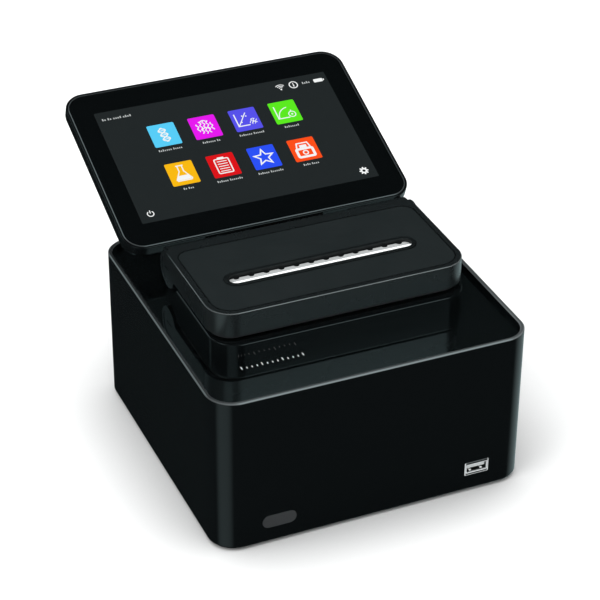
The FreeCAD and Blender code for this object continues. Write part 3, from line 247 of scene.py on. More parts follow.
def white_strip():
    """White moulding with painted light: a faint painted glow on the front ledge, and painted shade that
    turns the scalloped step behind it a light grey.
    """
    shader = Shader("white_strip", roughness=0.4)
    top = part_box("position_strip")[1].z
    # Painted light: the top ledge stays white and glows faintly; the lower scalloped step is painted darker
    # as shade.
    lit_ledge = shader.ramp(shader.axis("Z"), 0, 1, top - 0.6 * MM, top - 0.3 * MM)
    grain = shader.ramp(shader.noise(900, 2), 0.92, 1.0)
    tone = shader.number("MULTIPLY", shader.ramp(lit_ledge, 0.40, 0.95, 0, 1), grain)
    shader.link(shader.blend(tone, (0, 0, 0), (0.97, 1.0, 1.0)), "Base Color")
    shader.set("Emission Color", (0.97, 1.0, 1.0, 1))
    shader.link(shader.number("MULTIPLY", lit_ledge, 0.16), "Emission Strength")
    shader.bump(shader.noise(1500, 2), strength=0.08, depth=0.00005)
    return shader.material


def brushed(name, color, low, high, stretch=(30, 1400, 1400)):
    """Metal with fine lines along X, or with an even grain where the stretch is even."""
    shader = Shader(name, color, metallic=0.6)
    lines = shader.noise(1, 3, stretch)
    darkened = tuple(0.82 * part for part in color)
    shader.link(shader.blend(lines, darkened, color), "Base Color")
    shader.link(shader.ramp(lines, low, high), "Roughness")
    shader.bump(lines, strength=0.15, depth=0.00004)
    return shader.material


def port_frame():
    """The port's surround with painted light: a face in painted shade, painted highlights on its flanks and
    lower edge and a faint one along its top.
    """
    shader = Shader("port_frame", roughness=0.3)
    low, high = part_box("front_usb_frame")
    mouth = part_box("front_usb_shell")[1].x
    centre = (low.x + high.x) / 2
    across = shader.number("ABSOLUTE", shader.number("SUBTRACT", shader.axis("X"), centre))
    # Painted highlights: pale bands on the flanks beside the mouth, along the lower edge and faintly along
    # the top.
    flank = shader.ramp(across, 0, 1, mouth - centre + 0.1 * MM, mouth - centre + 0.2 * MM)
    foot = shader.ramp(shader.axis("Z"), 1, 0, low.z + 0.5 * MM, low.z + 0.65 * MM)
    brow = shader.ramp(shader.axis("Z"), 0, 0.12, high.z - 0.5 * MM, high.z - 0.35 * MM)
    highlight_edges = shader.number("MAXIMUM", shader.number("MAXIMUM", flank, foot), brow)
    tone = shader.number("MULTIPLY", highlight_edges, shader.ramp(shader.noise(500, 2), 0.85, 1.0))
    shader.link(shader.blend(tone, CAVITY_SHADE, (0.62, 0.65, 0.66)), "Base Color")
    return shader.material


def port_shell():
    """Folded steel with painted light: a painted highlight along its front edge and painted shade inside
    the mouth.
    """
    shader = Shader("port_shell", roughness=0.3)
    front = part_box("front_usb_shell")[0].y
    # Painted highlight at the front edge, fading into painted shade further in.
    rim = shader.ramp(shader.axis("Y"), 1, 0, front + 0.4 * MM, front + 1.2 * MM)
    tone = shader.number("MULTIPLY", rim, shader.ramp(shader.noise(700, 2), 0.85, 1.0))
    shader.link(shader.blend(tone, CAVITY_SHADE, (0.66, 0.69, 0.70)), "Base Color")
    return shader.material


def port_tongue():
    """Pale moulding that carries the port's contacts."""
    shader = Shader("port_tongue", roughness=0.35)
    shader.link(shader.blend(shader.noise(700, 2), (0.46, 0.49, 0.49), (0.54, 0.57, 0.57)), "Base Color")
    return shader.material


def powder_coat():
    """Painted sheet metal."""
    shader = Shader("black_metal", (0.016, 0.017, 0.018))
    shader.wear(0.42, 0.55, 80)
    shader.bump(shader.noise(1100, 3), strength=0.35, depth=0.00012)
    return shader.material


def polymer():
    """Plain dark moulding for hidden and working parts."""
    shader = Shader("polymer", (0.022, 0.023, 0.025))
    shader.wear(0.36, 0.48, 120)
    shader.bump(shader.noise(2200, 2), strength=0.15, depth=0.00006)
    return shader.material


def quartz(name="quartz", color=(0.93, 0.97, 1.0)):
    """Polished clear quartz or glass."""
    shader = Shader(name, color)
    shader.wear(0.01, 0.03)
    shader.set("Transmission Weight", 1.0)
    shader.set("IOR", 1.46)
    return shader.material


def mirror():
    """First-surface mirror."""
    shader = Shader("mirror", (0.92, 0.92, 0.94), metallic=1.0)
    shader.wear(0.015, 0.035)
    return shader.material


def circuit_board():
    """Solder mask with faint copper tracks under it."""
    shader = Shader("circuit_board", (0.008, 0.055, 0.028))
    tracks = shader.node("TexBrick", Vector=shader.place(), Scale=260.0)
    tracks.inputs["Color1"].default_value = (0.006, 0.05, 0.024, 1)
    tracks.inputs["Color2"].default_value = (0.008, 0.065, 0.032, 1)
    tracks.inputs["Mortar"].default_value = (0.02, 0.11, 0.05, 1)
    tracks.inputs["Mortar Size"].default_value = 0.04
    shader.link(tracks.outputs["Color"], "Base Color")
    shader.wear(0.25, 0.4)
    shader.bump(tracks.outputs["Fac"], strength=0.2, depth=0.00005)
    return shader.material


def mat_rubber():
    """Ribbed non-slip rubber."""
    shader = Shader("foot_rubber", (0.014, 0.014, 0.015))
    shader.wear(0.72, 0.86, 150)
    waves = shader.node("TexWave", Vector=shader.place(), Scale=90.0, Distortion=0.0)
    shader.bump(waves.outputs["Fac"], strength=0.4, depth=0.0003)
    return shader.material


def cable_jacket():
    """Matt cable sleeve with fine ribs."""
    shader = Shader("cable_jacket", (0.012, 0.012, 0.013))
    shader.wear(0.5, 0.62, 90)
    shader.bump(shader.noise(1, 2, (900, 900, 160)), strength=0.2, depth=0.00006)
    return shader.material


def badge_metal():
    """Satin plate with fine lines, left blank."""
    shader = Shader("badge_metal", (0.30, 0.31, 0.32), metallic=0.9)
    lines = shader.noise(1, 3, (40, 40, 2600))
    shader.link(shader.blend(lines, (0.24, 0.25, 0.26), (0.34, 0.35, 0.36)), "Base Color")
    shader.link(shader.ramp(lines, 0.3, 0.42), "Roughness")
    return shader.material


SLOT_MATERIALS = {
    "gloss_black": gloss_black().material,
    "deck_gloss": deck_gloss(),
    "satin_black": satin_black(),
    "panel_grey": panel_grey(),
    "screen_glass": screen_glass(),
    "white_strip": white_strip(),
    "bright_steel": brushed("bright_steel", (0.70, 0.71, 0.72), 0.16, 0.3),
    "machined_aluminium": brushed("machined_aluminium", (0.60, 0.61, 0.62), 0.3, 0.45, (500, 500, 500)),
    "black_metal": powder_coat(),
    "polymer": polymer(),
    "quartz": quartz(),
    "mirror": mirror(),
    "circuit_board": circuit_board(),
    "foot_rubber": mat_rubber(),
    "brass_contacts": brushed("brass_contacts", (0.85, 0.62, 0.25), 0.2, 0.32),
    "cable_jacket": cable_jacket(),
    "lamp_glass": quartz("lamp_glass", (0.97, 0.98, 1.0)),
    "badge_metal": badge_metal(),
}
OWN_MATERIALS = {
    "enclosure_shell": rimmed_gloss(),
    "slot_bezel": lip_black(),
    "front_usb_frame": port_frame(),
    "front_usb_shell": port_shell(),
    "front_usb_tongue": port_tongue(),
}
for part in frame["record"]["subparts"]:
    node = part["node"]
    NODES[node].data.materials[0] = OWN_MATERIALS.get(node) or SLOT_MATERIALS[part["material_slot"]]


# ---------------------------------------------------------------- flat shapes, in millimetres
def turned(points, angle):
    """Points turned about the origin; the angle in radians."""
    c, s = math.cos(angle), math.sin(angle)
    return [(x * c - y * s, x * s + y * c) for x, y in points]


def moved(points, dx, dy):
    """Points carried sideways and up."""
    return [(x + dx, y + dy) for x, y in points]


def arc(centre, radius, start, end, steps=16):
    """Points on an arc; angles in degrees."""
    angles = [math.radians(start + (end - start) * k / steps) for k in range(steps + 1)]
    return [(centre[0] + radius * math.cos(a), centre[1] + radius * math.sin(a)) for a in angles]


def disc(centre, radius, steps=28):
    """A full circle, without its repeated last point."""
    return arc(centre, radius, 0, 360, steps)[:-1]


def rounded(centre, width, height, radius, steps=6):
    """A rounded rectangle about a centre."""
    cx, cy = centre
    points = []
    for k, (sx, sy) in enumerate(((1, 1), (-1, 1), (-1, -1), (1, -1))):
        corner = (cx + sx * (width / 2 - radius), cy + sy * (height / 2 - radius))
        points += arc(corner, radius, 90 * k, 90 * k + 90, steps)
    return points


def star(outer, inner, count=5):
    """The outline of a star about the origin, with its first point up."""
    angles = [math.pi / 2 + math.pi * k / count for k in range(2 * count)]
    radii = [outer if k % 2 == 0 else inner for k in range(2 * count)]
    return [(r * math.cos(a), r * math.sin(a)) for r, a in zip(radii, angles)]


# A sharp corner would widen a line without end, so the cosine of half its turn counts as at least this.
SHARPEST_LEAN = 0.35


def stroke(points, width, closed=False):
    """A line of even width as a strip of quads."""
    count = len(points)
    sides = []
    for k, (x, y) in enumerate(points):
        before = points[k - 1] if closed or k else points[0]
        after = points[(k + 1) % count] if closed or k < count - 1 else points[-1]
        first = Vector((x - before[0], y - before[1]))
        second = Vector((after[0] - x, after[1] - y))
        along = (first.normalized() + second.normalized()).normalized()
        edge = second if second.length else first
        lean = max(SHARPEST_LEAN, abs(along.dot(edge.normalized())))
        across = Vector((-along.y, along.x)) * (width / 2 / lean)
        sides.append(((x + across.x, y + across.y), (x - across.x, y - across.y)))
    pairs = zip(range(count), [*range(1, count), 0] if closed else range(1, count))
    return [[sides[a][0], sides[a][1], sides[b][1], sides[b][0]] for a, b in pairs]


# ---------------------------------------------------------------- pieces
def new_piece(name, mesh, material):
    """Puts a mesh in the scene under a name and a material."""
    mesh.materials.append(material)
    piece = bpy.data.objects.new(name, mesh)
    bpy.context.scene.collection.objects.link(piece)
    return piece


def flat_piece(name, faces, place, thickness, body, material):
    """Thin closed solids from flat outlines, laid on a plane given by a matrix."""
    build = bmesh.new()
    corners = {}
    for outline in faces:
        ring = []
        for x, y in outline:
            key = (round(x, 4), round(y, 4))
            if key not in corners:
                corners[key] = build.verts.new((x * MM, y * MM, 0))
            if corners[key] not in ring:
                ring.append(corners[key])
        if len(ring) > 2 and not build.faces.get(ring):
            build.faces.new(ring)
    bmesh.ops.recalc_face_normals(build, faces=build.faces)
    upper = bmesh.ops.extrude_face_region(build, geom=list(build.faces), use_keep_orig=True)
    raised = [part for part in upper["geom"] if isinstance(part, bmesh.types.BMVert)]
    bmesh.ops.translate(build, verts=raised, vec=(0, 0, thickness * MM))
    bmesh.ops.recalc_face_normals(build, faces=build.faces)
    mesh = bpy.data.meshes.new(name)
    build.to_mesh(mesh)
    build.free()
    mesh.transform(place)
    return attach(new_piece(name, mesh, material), body)


def screen_plane():
    """The matrix of the screen's front face: X to the right, Y up the screen, Z out of the glass."""
    mesh = NODES["screen_glass"].data
    upward = 0.5
    faces = [face for face in mesh.polygons if face.normal.z > upward]
    normal = max(faces, key=lambda face: face.area).normal.copy()
    level = max(vertex.co.dot(normal) for vertex in mesh.vertices)
    up = normal.cross(Vector((1, 0, 0))).normalized()
    heights = [vertex.co.dot(up) for vertex in mesh.vertices]
    origin = normal * level + up * (min(heights) + max(heights)) / 2
    columns = Matrix((Vector((1, 0, 0)), up, normal)).transposed()
    return Matrix.Translation(origin) @ columns.to_4x4()


SCREEN = screen_plane()


def on_screen(lift):
    """The screen's plane, raised a little off the glass; the lift is in millimetres."""
    return SCREEN @ Matrix.Translation((0, 0, lift * MM))


def lit(name, color, grain=0.0):
    """A lit part of the display behind gloss glass."""
    shader = Shader(name, (0.003, 0.003, 0.003), 0.07)
    if grain:
        pattern = shader.noise(140, 2)
        lower = tuple(part * (1 - grain) for part in color)
        shader.link(shader.blend(pattern, lower, color), "Emission Color")
    else:
        shader.set("Emission Color", (*color, 1))
    shader.set("Emission Strength", 1.0)
    return shader.material


VIEW_WIDTH, VIEW_HEIGHT, VIEW_CORNER, VIEW_RAISE = 150.2, 89.6, 0.6, 0.2
TILE_WIDTH, TILE_HEIGHT, TILE_CORNER = 17.1, 17.8, 0.9
TILE_PITCH, COLUMN_LEFT = 26.1, -39.4
ROW_UP = (18.6, -13.2)
CAPTION_DROP, CAPTION_HEIGHT = 3.7, 1.5
STATUS_UP, CORNERS_UP = 38.9, -38.4
FACE_LIFT, TILE_LIFT, ICON_LIFT, FILM = 0.01, 0.04, 0.07, 0.02
WHITE = lit("icon_white", (0.9, 0.92, 0.92))
CAPTION = lit("caption_grey", (0.52, 0.55, 0.55))
LINE = 0.75


def words(lengths, centre_x, base, height):
    """Unreadable caption lines: small blocks of uneven height, in groups."""
    gap, letter, short = 0.36 * height, 0.44 * height, 0.66
    total = sum(lengths) * (letter + gap) + (len(lengths) - 1) * letter
    x = centre_x - total / 2
    blocks = []
    for group, length in enumerate(lengths):
        for k in range(length):
            tall = 1.0 if (k * 5 + group * 3) % 7 in (0, 3) else short
            top = base + height * tall
            blocks.append([(x, base), (x + letter, base), (x + letter, top), (x, top)])
            x += letter + gap
        x += letter
    return blocks


def helix_icon():
    """Two crossing strands with rungs where they are far apart."""
    radius, winding, lean, rung = 2.3, 0.9, 0.12, 0.5
    heights = [-5.6 + 0.4 * k for k in range(29)]
    faces = []
    for side in (1, -1):
        strand = [(side * radius * math.cos(h * winding), h) for h in heights]
        faces += stroke(turned(strand, lean), LINE)
    for h in (-5.2, -3.5, -1.7, 0, 1.7, 3.5, 5.2):
        reach = abs(radius * math.cos(h * winding))
        if reach > 1:
            faces += stroke(turned([(-reach, h), (reach, h)], lean), rung)
    return faces


def coil_icon(radius=5.4, count=5, width=0.65):
    """A ball of wavy threads with two arcs across them."""
    spread, wave, arc_up, arc_radius = 0.82 * radius, 0.55, 0.55 * radius, 0.45 * radius
    faces = []
    for k in range(count):
        x = spread * (2 * k / (count - 1) - 1)
        reach = math.sqrt(radius * radius - x * x)
        heights = [-reach + 2 * reach * j / 18 for j in range(19)]
        faces += stroke([(x + wave * math.sin(h * 1.9 + k * 1.7), h) for h in heights], width)
    for side in (-1, 1):
        faces += stroke(arc((0, side * arc_up), arc_radius, 20, 160), width)
    return faces


def axes_lines():
    """The upright and the level line of a graph."""
    return stroke([(-5.8, 5.4), (-5.8, -4.8), (1.6, -4.8)], LINE)


def graph_icon():
    """A straight line through a few dots, with a small coil."""
    dots = [disc((-2.9, -1.8), 0.5), disc((-1.2, 3.1), 0.5), disc((1.2, 2.6), 0.5)]
    small_coil = [moved(face, 4.4, -2.4) for face in coil_icon(2.3, 4, 0.4)]
    return axes_lines() + stroke([(-5.4, -4.4), (1.6, 5.4)], 0.6) + dots + small_coil


def curve_icon():
    """A curve that levels off, with a stopwatch."""
    watch = stroke(disc((3.7, -2.6), 2.2), 0.6, closed=True) + [rounded((3.7, 0.4), 0.8, 0.9, 0.2)]
    return axes_lines() + stroke(arc((3.2, -4.6), 8.2, 178, 98), 0.6) + watch + [disc((3.7, -2.6), 0.6)]


def flask_icon():
    """A conical flask with some liquid in it."""
    left = [(-1.4, 6), (-1.4, 1.6), (-4.8, -4.6), (-4.2, -5.6)]
    outline = left + [(-x, y) for x, y in reversed(left)]
    liquid = [(-3.1, -1.6), (-4.3, -4.4), (-3.9, -5.1), (3.9, -5.1), (4.3, -4.4), (3.1, -1.6)]
    return stroke(outline, 0.7) + stroke([(-2.3, 6.1), (2.3, 6.1)], 0.8) + [liquid]


def clipboard_icon():
    """A clipboard with five lines on it."""
    faces = stroke(rounded((0, -0.4), 9, 11.2, 0.8), 0.8, closed=True)
    faces += [rounded((0, 5.6), 4.4, 1.9, 0.6)]
    for k in range(5):
        y = 3.2 - 1.9 * k
        faces += stroke([(-3.1, y), (3.1, y)], 0.6)
    return faces


def star_icon():
    """The outline of a star."""
    return stroke(star(6.1, 2.7), 0.9, closed=True)


def box_icon():
    """An open box with a round tab."""
    front = stroke(rounded((0, -2.6), 10.2, 6.4, 0.8), 1.7, closed=True)
    lid = stroke([(-4.4, 1.4), (-3.4, 5.2), (3.4, 5.2), (4.4, 1.4)], 0.9)
    return front + lid + stroke(disc((0, -2.6), 1.5), 0.8, closed=True) + [rounded((0, 2.6), 4.6, 2.2, 0.4)]


# Each tile's name, colour, picture and the lengths of its caption's words.
TILES = [
    ("cyan", (0.095, 0.63, 0.96), helix_icon, (7, 5)),
    ("magenta", (0.81, 0.006, 0.88), coil_icon, (7, 2)),
    ("violet", (0.093, 0.081, 0.84), graph_icon, (7, 6)),
    ("green", (0.105, 0.84, 0.01), curve_icon, (8,)),
    ("amber", (0.97, 0.50, 0.002), flask_icon, (2, 3)),
    ("red", (0.72, 0.003, 0.006), clipboard_icon, (6, 7)),
    ("blue", (0.021, 0.079, 0.93), star_icon, (6, 7)),
    ("orange", (1.0, 0.077, 0.006), box_icon, (4, 4)),
]


def display_piece(name, faces, lift, material):
    """A lit part of the display, which polished surfaces don't mirror."""
    piece = flat_piece(name, faces, on_screen(lift), FILM, "screen", material)
    piece.visible_glossy = False


def display():
    """The lit face with its tiles, icons and status line."""
    face = lit("display_face", (0.0126, 0.0170, 0.0179), grain=0.1)
    outline = rounded((0, VIEW_RAISE), VIEW_WIDTH, VIEW_HEIGHT, VIEW_CORNER)
    display_piece("display_face", [outline], FACE_LIFT, face)
    columns = len(TILES) // len(ROW_UP)
    for k, (name, color, icon, lengths) in enumerate(TILES):
        row, column = divmod(k, columns)
        x, y = COLUMN_LEFT + TILE_PITCH * column, ROW_UP[row]
        tile = rounded((x, y), TILE_WIDTH, TILE_HEIGHT, TILE_CORNER)
        display_piece(f"tile_{name}", [tile], TILE_LIFT, lit(f"tile_{name}", color, grain=0.05))
        display_piece(f"icon_{name}", [moved(part, x, y) for part in icon()], ICON_LIFT, WHITE)
        caption = words(lengths, x, y - TILE_HEIGHT / 2 - CAPTION_DROP, CAPTION_HEIGHT)
        display_piece(f"caption_{name}", caption, TILE_LIFT, CAPTION)
    status_line()
    corner_icons()


def signal_icon(x, y):
    """Three waves over a dot."""
    foot = (x, y - 2.0)
    faces = [disc(foot, 0.6, 12)]
    for radius in (1.5, 2.7, 3.9):
        faces += stroke(arc(foot, radius, 45, 135, 10), 0.5)
    return faces


def info_icon(x, y):
    """A short bar and a dot in a ring."""
    ring = stroke(disc((x, y), 2.6), 0.65, closed=True)
    return ring + [disc((x, y + 1.1), 0.4, 10), rounded((x, y - 0.6), 0.7, 2.0, 0.2)]


def battery_icon(x, y):
    """A filled cell with its tip."""
    return [rounded((x, y), 6.0, 2.7, 0.6), rounded((x + 3.6, y), 0.7, 1.3, 0.2)]


def power_icon(x, y):
    """An open ring with a bar through its gap."""
    return stroke(arc((x, y), 1.9, 125, 415, 30), 0.6) + stroke([(x, y + 0.3), (x, y + 2.6)], 0.6)


def gear_icon(x, y):
    """Eight teeth round a hole; each point of the rim has its partner on the hole."""
    tip, root, hole, teeth = 2.9, 2.1, 0.95, 8
    rim = []
    for k in range(teeth):
        middle = 360 / teeth * k
        rim += arc((0, 0), tip, middle - 9, middle + 9, 2)
        rim += arc((0, 0), root, middle + 14, middle + 31, 2)
    inner = [(a * hole / math.hypot(a, b), b * hole / math.hypot(a, b)) for a, b in rim]
    count = len(rim)
    quads = [[rim[k], rim[(k + 1) % count], inner[(k + 1) % count], inner[k]] for k in range(count)]
    return [moved(quad, x, y) for quad in quads]


def status_line():
    """The clock and the charge as unreadable digits, and three pictures between them."""
    digits = 1.7
    display_piece("clock_digits", words((2, 2, 4, 4), -62.4, STATUS_UP - 0.9, digits), TILE_LIFT, CAPTION)
    display_piece("signal_icon", signal_icon(43.6, STATUS_UP), TILE_LIFT, WHITE)
    display_piece("info_icon", info_icon(52.4, STATUS_UP), TILE_LIFT, WHITE)
    display_piece("charge_digits", words((4,), 61.0, STATUS_UP - 0.8, digits), TILE_LIFT, CAPTION)
    display_piece("battery_icon", battery_icon(69.0, STATUS_UP), TILE_LIFT, WHITE)


def corner_icons():
    """The power mark and the settings gear, in the lower corners."""
    display_piece("power_icon", power_icon(-68.0, CORNERS_UP), TILE_LIFT, WHITE)
    display_piece("gear_icon", gear_icon(67.7, CORNERS_UP), TILE_LIFT, WHITE)


# ---------------------------------------------------------------- small fittings
def mesh_piece(name, points, faces, material):
    """A piece from points in millimetres and faces, which isn't on a body yet."""
    mesh = bpy.data.meshes.new(name)
    mesh.from_pydata([tuple(part * MM for part in point) for point in points], [], faces)
    mesh.validate()
    return new_piece(name, mesh, material)


def joined_loops(loops, closed):
    """Quads between neighbouring loops of equal length; closed joins the last loop to the first."""
    count = len(loops[0])
    faces = []
    for a in range(len(loops) if closed else len(loops) - 1):
        b = (a + 1) % len(loops)
        for k in range(count):
            after = (k + 1) % count
            faces.append((a * count + k, a * count + after, b * count + after, b * count + k))
    return [point for loop in loops for point in loop], faces


def glass_trim():
    """The polished bead round the glass, which falls away to the shell."""
    width, rise, corner, foot = 0.55, 0.24, 11.6, 0.01
    inverse = SCREEN.inverted()
    local = [inverse @ vertex.co for vertex in NODES["screen_glass"].data.vertices]
    half_x = max(point.x for point in local) / MM
    half_y = max(point.y for point in local) / MM
    loops = []
    for inset, level in ((0, foot), (width, rise), (width + 0.1, foot)):
        size = (2 * (half_x - inset), 2 * (half_y - inset))
        loops.append([(x, y, level) for x, y in rounded((0, 0), *size, corner - inset, 16)])
    points, faces = joined_loops(loops, closed=True)
    shader = Shader("glass_trim", (0.035, 0.04, 0.042))
    shader.wear(0.12, 0.2, 60)
    piece = mesh_piece("glass_trim", points, faces, shader.material)
    piece.data.transform(SCREEN)
    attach(piece, "screen")


def strip_solid(path, half, thick):
    """A ribbon of even width along X that follows a path of (y, z) points; returns points and faces."""
    loops = []
    for k, (y, z) in enumerate(path):
        before, after = path[max(k - 1, 0)], path[min(k + 1, len(path) - 1)]
        along = Vector((after[0] - before[0], after[1] - before[1])).normalized()
        side = Vector((-along.y, along.x)) * thick / 2
        loops.append([(-half, y + side.x, z + side.y), (half, y + side.x, z + side.y),
                      (half, y - side.x, z - side.y), (-half, y - side.x, z - side.y)])
    points, faces = joined_loops(loops, closed=False)
    last = len(points) - 4
    return points, faces + [(3, 2, 1, 0), (last, last + 1, last + 2, last + 3)]


def smooth_path(knots, steps=6):
    """A Catmull-Rom curve through (y, z) knots."""
    path = []
    for k in range(len(knots) - 1):
        p0, p1 = knots[max(k - 1, 0)], knots[k]
        p2, p3 = knots[k + 1], knots[min(k + 2, len(knots) - 1)]
        for j in range(steps):
            s = j / steps
            path.append(tuple(0.5 * (2 * b + (c - a) * s + (2 * a - 5 * b + 4 * c - d) * s ** 2
                                     + (3 * b - a - 3 * c + d) * s ** 3)
                              for a, b, c, d in zip(p0, p1, p2, p3)))
    return path + [knots[-1]]


def port_springs():
    """The two sprung tabs that press on a plug, rising from the port's lower wall."""
    low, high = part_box("front_usb_shell")
    # The tabs get a pale non-metal colour, a painted highlight: they show bright even in the shade of the
    # port's mouth.
    glint_steel = Shader("spring_steel_glint", (0.80, 0.83, 0.84))
    glint_steel.wear(0.2, 0.3, 300)
    wall, front = 0.36, low.y / MM
    floor_z = low.z / MM + wall
    knots = [(front + 6.0, floor_z), (front + 3.6, floor_z + 0.4), (front + 2.2, floor_z + 0.75),
             (front + 1.2, floor_z + 0.4)]
    spacing, half, thick = 3.4, 0.7, 0.2
    points, faces = strip_solid(smooth_path(knots), half, thick)
    for name, side in (("left", -1), ("right", 1)):
        middle = (low.x + high.x) / 2 / MM + side * spacing
        placed = [(x + middle, y, z) for x, y, z in points]
        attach(mesh_piece(f"port_spring_{name}", placed, faces, glint_steel.material), "base")


def display_tail():
    """The flat cable that passes over the hinge pin, through the arm plate's notch into the shell."""
    half, thick = 4.5, 0.3
    hinge = joint_place("screen_tilt")
    up, out = SCREEN.to_3x3().col[1], SCREEN.to_3x3().col[2]
    in_housing = [(-10.5, -1.1), (-9.6, 2.3), (-5.8, 4.1)]
    along_screen = [(0, 3.2), (4, 3.4), (6.9, 4.3), (7.5, 6.2)]
    knots = [(hinge.y + back, hinge.z + above) for back, above in in_housing]
    knots += [(hinge.y + a * up.y + b * out.y, hinge.z + a * up.z + b * out.z) for a, b in along_screen]
    points, faces = strip_solid(smooth_path(knots), half, thick)
    shader = Shader("cable_film", roughness=0.3)
    shader.wear(0.22, 0.34, 90)
    lines = shader.node("TexWave", Vector=shader.place(), Scale=160.0, Distortion=0.0)
    film, track = (0.010, 0.009, 0.008), (0.030, 0.024, 0.016)
    shader.link(shader.blend(lines.outputs["Fac"], film, track), "Base Color")
    piece = mesh_piece("display_tail", points, faces, shader.material)
    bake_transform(piece)


def joint_place(name):
    """A joint's place in millimetres."""
    joint = next(joint for joint in frame["record"]["behaviour"]["joints"] if joint["name"] == name)
    return Vector(joint["pos_m"]) / MM


def rocker_marks():
    """The line and the ring that mark the power switch's two sides."""
    pivot = joint_place("power_switch")
    # At rest the rocker leans by half its travel. Its face is a shallow V, which dips in over each run.
    lean, dip, run = math.radians(6), 1.6, 7.6
    along, height, ink_height = 4.2, 3.8, 0.04
    ink = Shader("rocker_white", (0.7, 0.71, 0.71), 0.5)
    ink.wear(0.42, 0.58, 180)
    shapes = {"on": (1, [rounded((0, 0), 0.7, 3.6, 0.3)]),
              "off": (-1, stroke(disc((0, 0), 1.5), 0.55, closed=True))}
    for name, (side, faces) in shapes.items():
        up = height * side
        y = pivot.y + along * math.cos(lean) - up * math.sin(lean)
        z = pivot.z + along * math.sin(lean) + up * math.cos(lean)
        slope = Vector((dip * side, run)).normalized()
        rise = Vector((0, slope.x * math.cos(lean) - slope.y * math.sin(lean),
                       slope.x * math.sin(lean) + slope.y * math.cos(lean)))
        across = Vector((-1, 0, 0))
        out = across.cross(rise)
        columns = Matrix((across, rise, out)).transposed().to_4x4()
        place = Matrix.Translation(Vector((pivot.x, y, z)) * MM) @ columns
        flat_piece(f"rocker_mark_{name}", faces, place, ink_height, "rocker", ink.material)


def two_radii(low, high, front, rear, steps=14):
    """A rectangle with one radius at its front corners and another at its rear ones."""
    corners = ((high.x - rear, high.y - rear, rear), (low.x + rear, high.y - rear, rear),
               (low.x + front, low.y + front, front), (high.x - front, low.y + front, front))
    points = []
    for k, (x, y, radius) in enumerate(corners):
        points += arc((x, y), radius, 90 * k, 90 * k + 90, steps)
    return points


def groove_shading():
    """Painted shade: dark strips laid in the groove round the lid's panel and at the foot of the slot's
    lip.
    """
    gap, front_corner, rear_corner = 0.35, 11.8, 8
    panel_line, panel_rise = 0.75, 0.08
    slot_line, slot_rise, spread = 0.65, 0.06, 0.3
    # Painted shade: a near-black strip where the groove and the foot of the lip lie in shade.
    shade_strip = Shader("groove_shade", (0.0015, 0.0018, 0.0020), 0.6)
    shade_strip.wear(0.55, 0.7, 200)
    low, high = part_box("lid_panel")
    top = Matrix.Translation((0, 0, high.z))
    grow = Vector((gap / 2, gap / 2, 0))
    outline = two_radii(low / MM - grow, high / MM + grow, front_corner - gap / 2, rear_corner - gap / 2)
    flat_piece("panel_groove_shade", stroke(outline, panel_line, closed=True), top, panel_rise,
               "lid", shade_strip.material)
    low, high = (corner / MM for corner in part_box("slot_bezel"))
    width, height = high.x - low.x + spread, high.y - low.y + spread
    ring = rounded(((low.x + high.x) / 2, (low.y + high.y) / 2), width, height, height / 2 - 0.01, 14)
    flat_piece("slot_lip_shade", stroke(ring, slot_line, closed=True), top, slot_rise,
               "lid", shade_strip.material)


# ---------------------------------------------------------------- printed marks
def deck_marks():
    """A short generic scale printed on the deck, in place of any wording."""
    front, left_end, pitch, count = -57.6, -65, 3, 13
    long, short, thick, ink_height = 2.6, 1.5, 0.5, 0.03
    faces = []
    for k in range(count):
        left = left_end + pitch * k - thick / 2
        right, far = left + thick, front + (long if k % 4 == 0 else short)
        faces.append([(left, front), (right, front), (right, far), (left, far)])
    ink = Shader("printed_white", (0.72, 0.73, 0.73), 0.5)
    ink.wear(0.45, 0.6, 200)
    plane = Matrix.Translation((0, 0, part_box("deck_plate")[1].z))
    flat_piece("deck_scale", faces, plane, ink_height, "base", ink.material)


# ---------------------------------------------------------------- room, light and camera
AMBIENT = 1.3
DARK = 0.012
CAMERA_WHITE = 1.05
THROUGH_GLASS = 0.4
MATT_TINT = (0.99, 1.0, 1.0, 1)
GLOSS_TINT = (0.74, 0.98, 1.0, 1)
# Each glow: the direction it lies in, its strength, and the angles in degrees where it starts to fade
# and where it is gone. Seen from the camera, in turn they light the right front corner, outlines seen
# edge-on, the left front corners, the tops' corners, the front top edges, the left top edges and gentle
# slopes on top.
GLOWS = [
    ((0.81, 0.26, -0.52), 0.50, 8, 43),
    ((0.30, 0.80, -0.53), 0.045, 6, 24),
    ((-0.70, -0.47, -0.53), 0.44, 2, 33),
    ((-0.45, -0.72, 0.52), 0.5, 3, 24),
    ((0.34, -0.53, 0.78), 2.4, 3, 21),
    ((-0.53, 0.78, 0.34), 1.0, 4, 16),
    ((-0.37, 0.25, 0.90), 2.0, 4, 14),
]


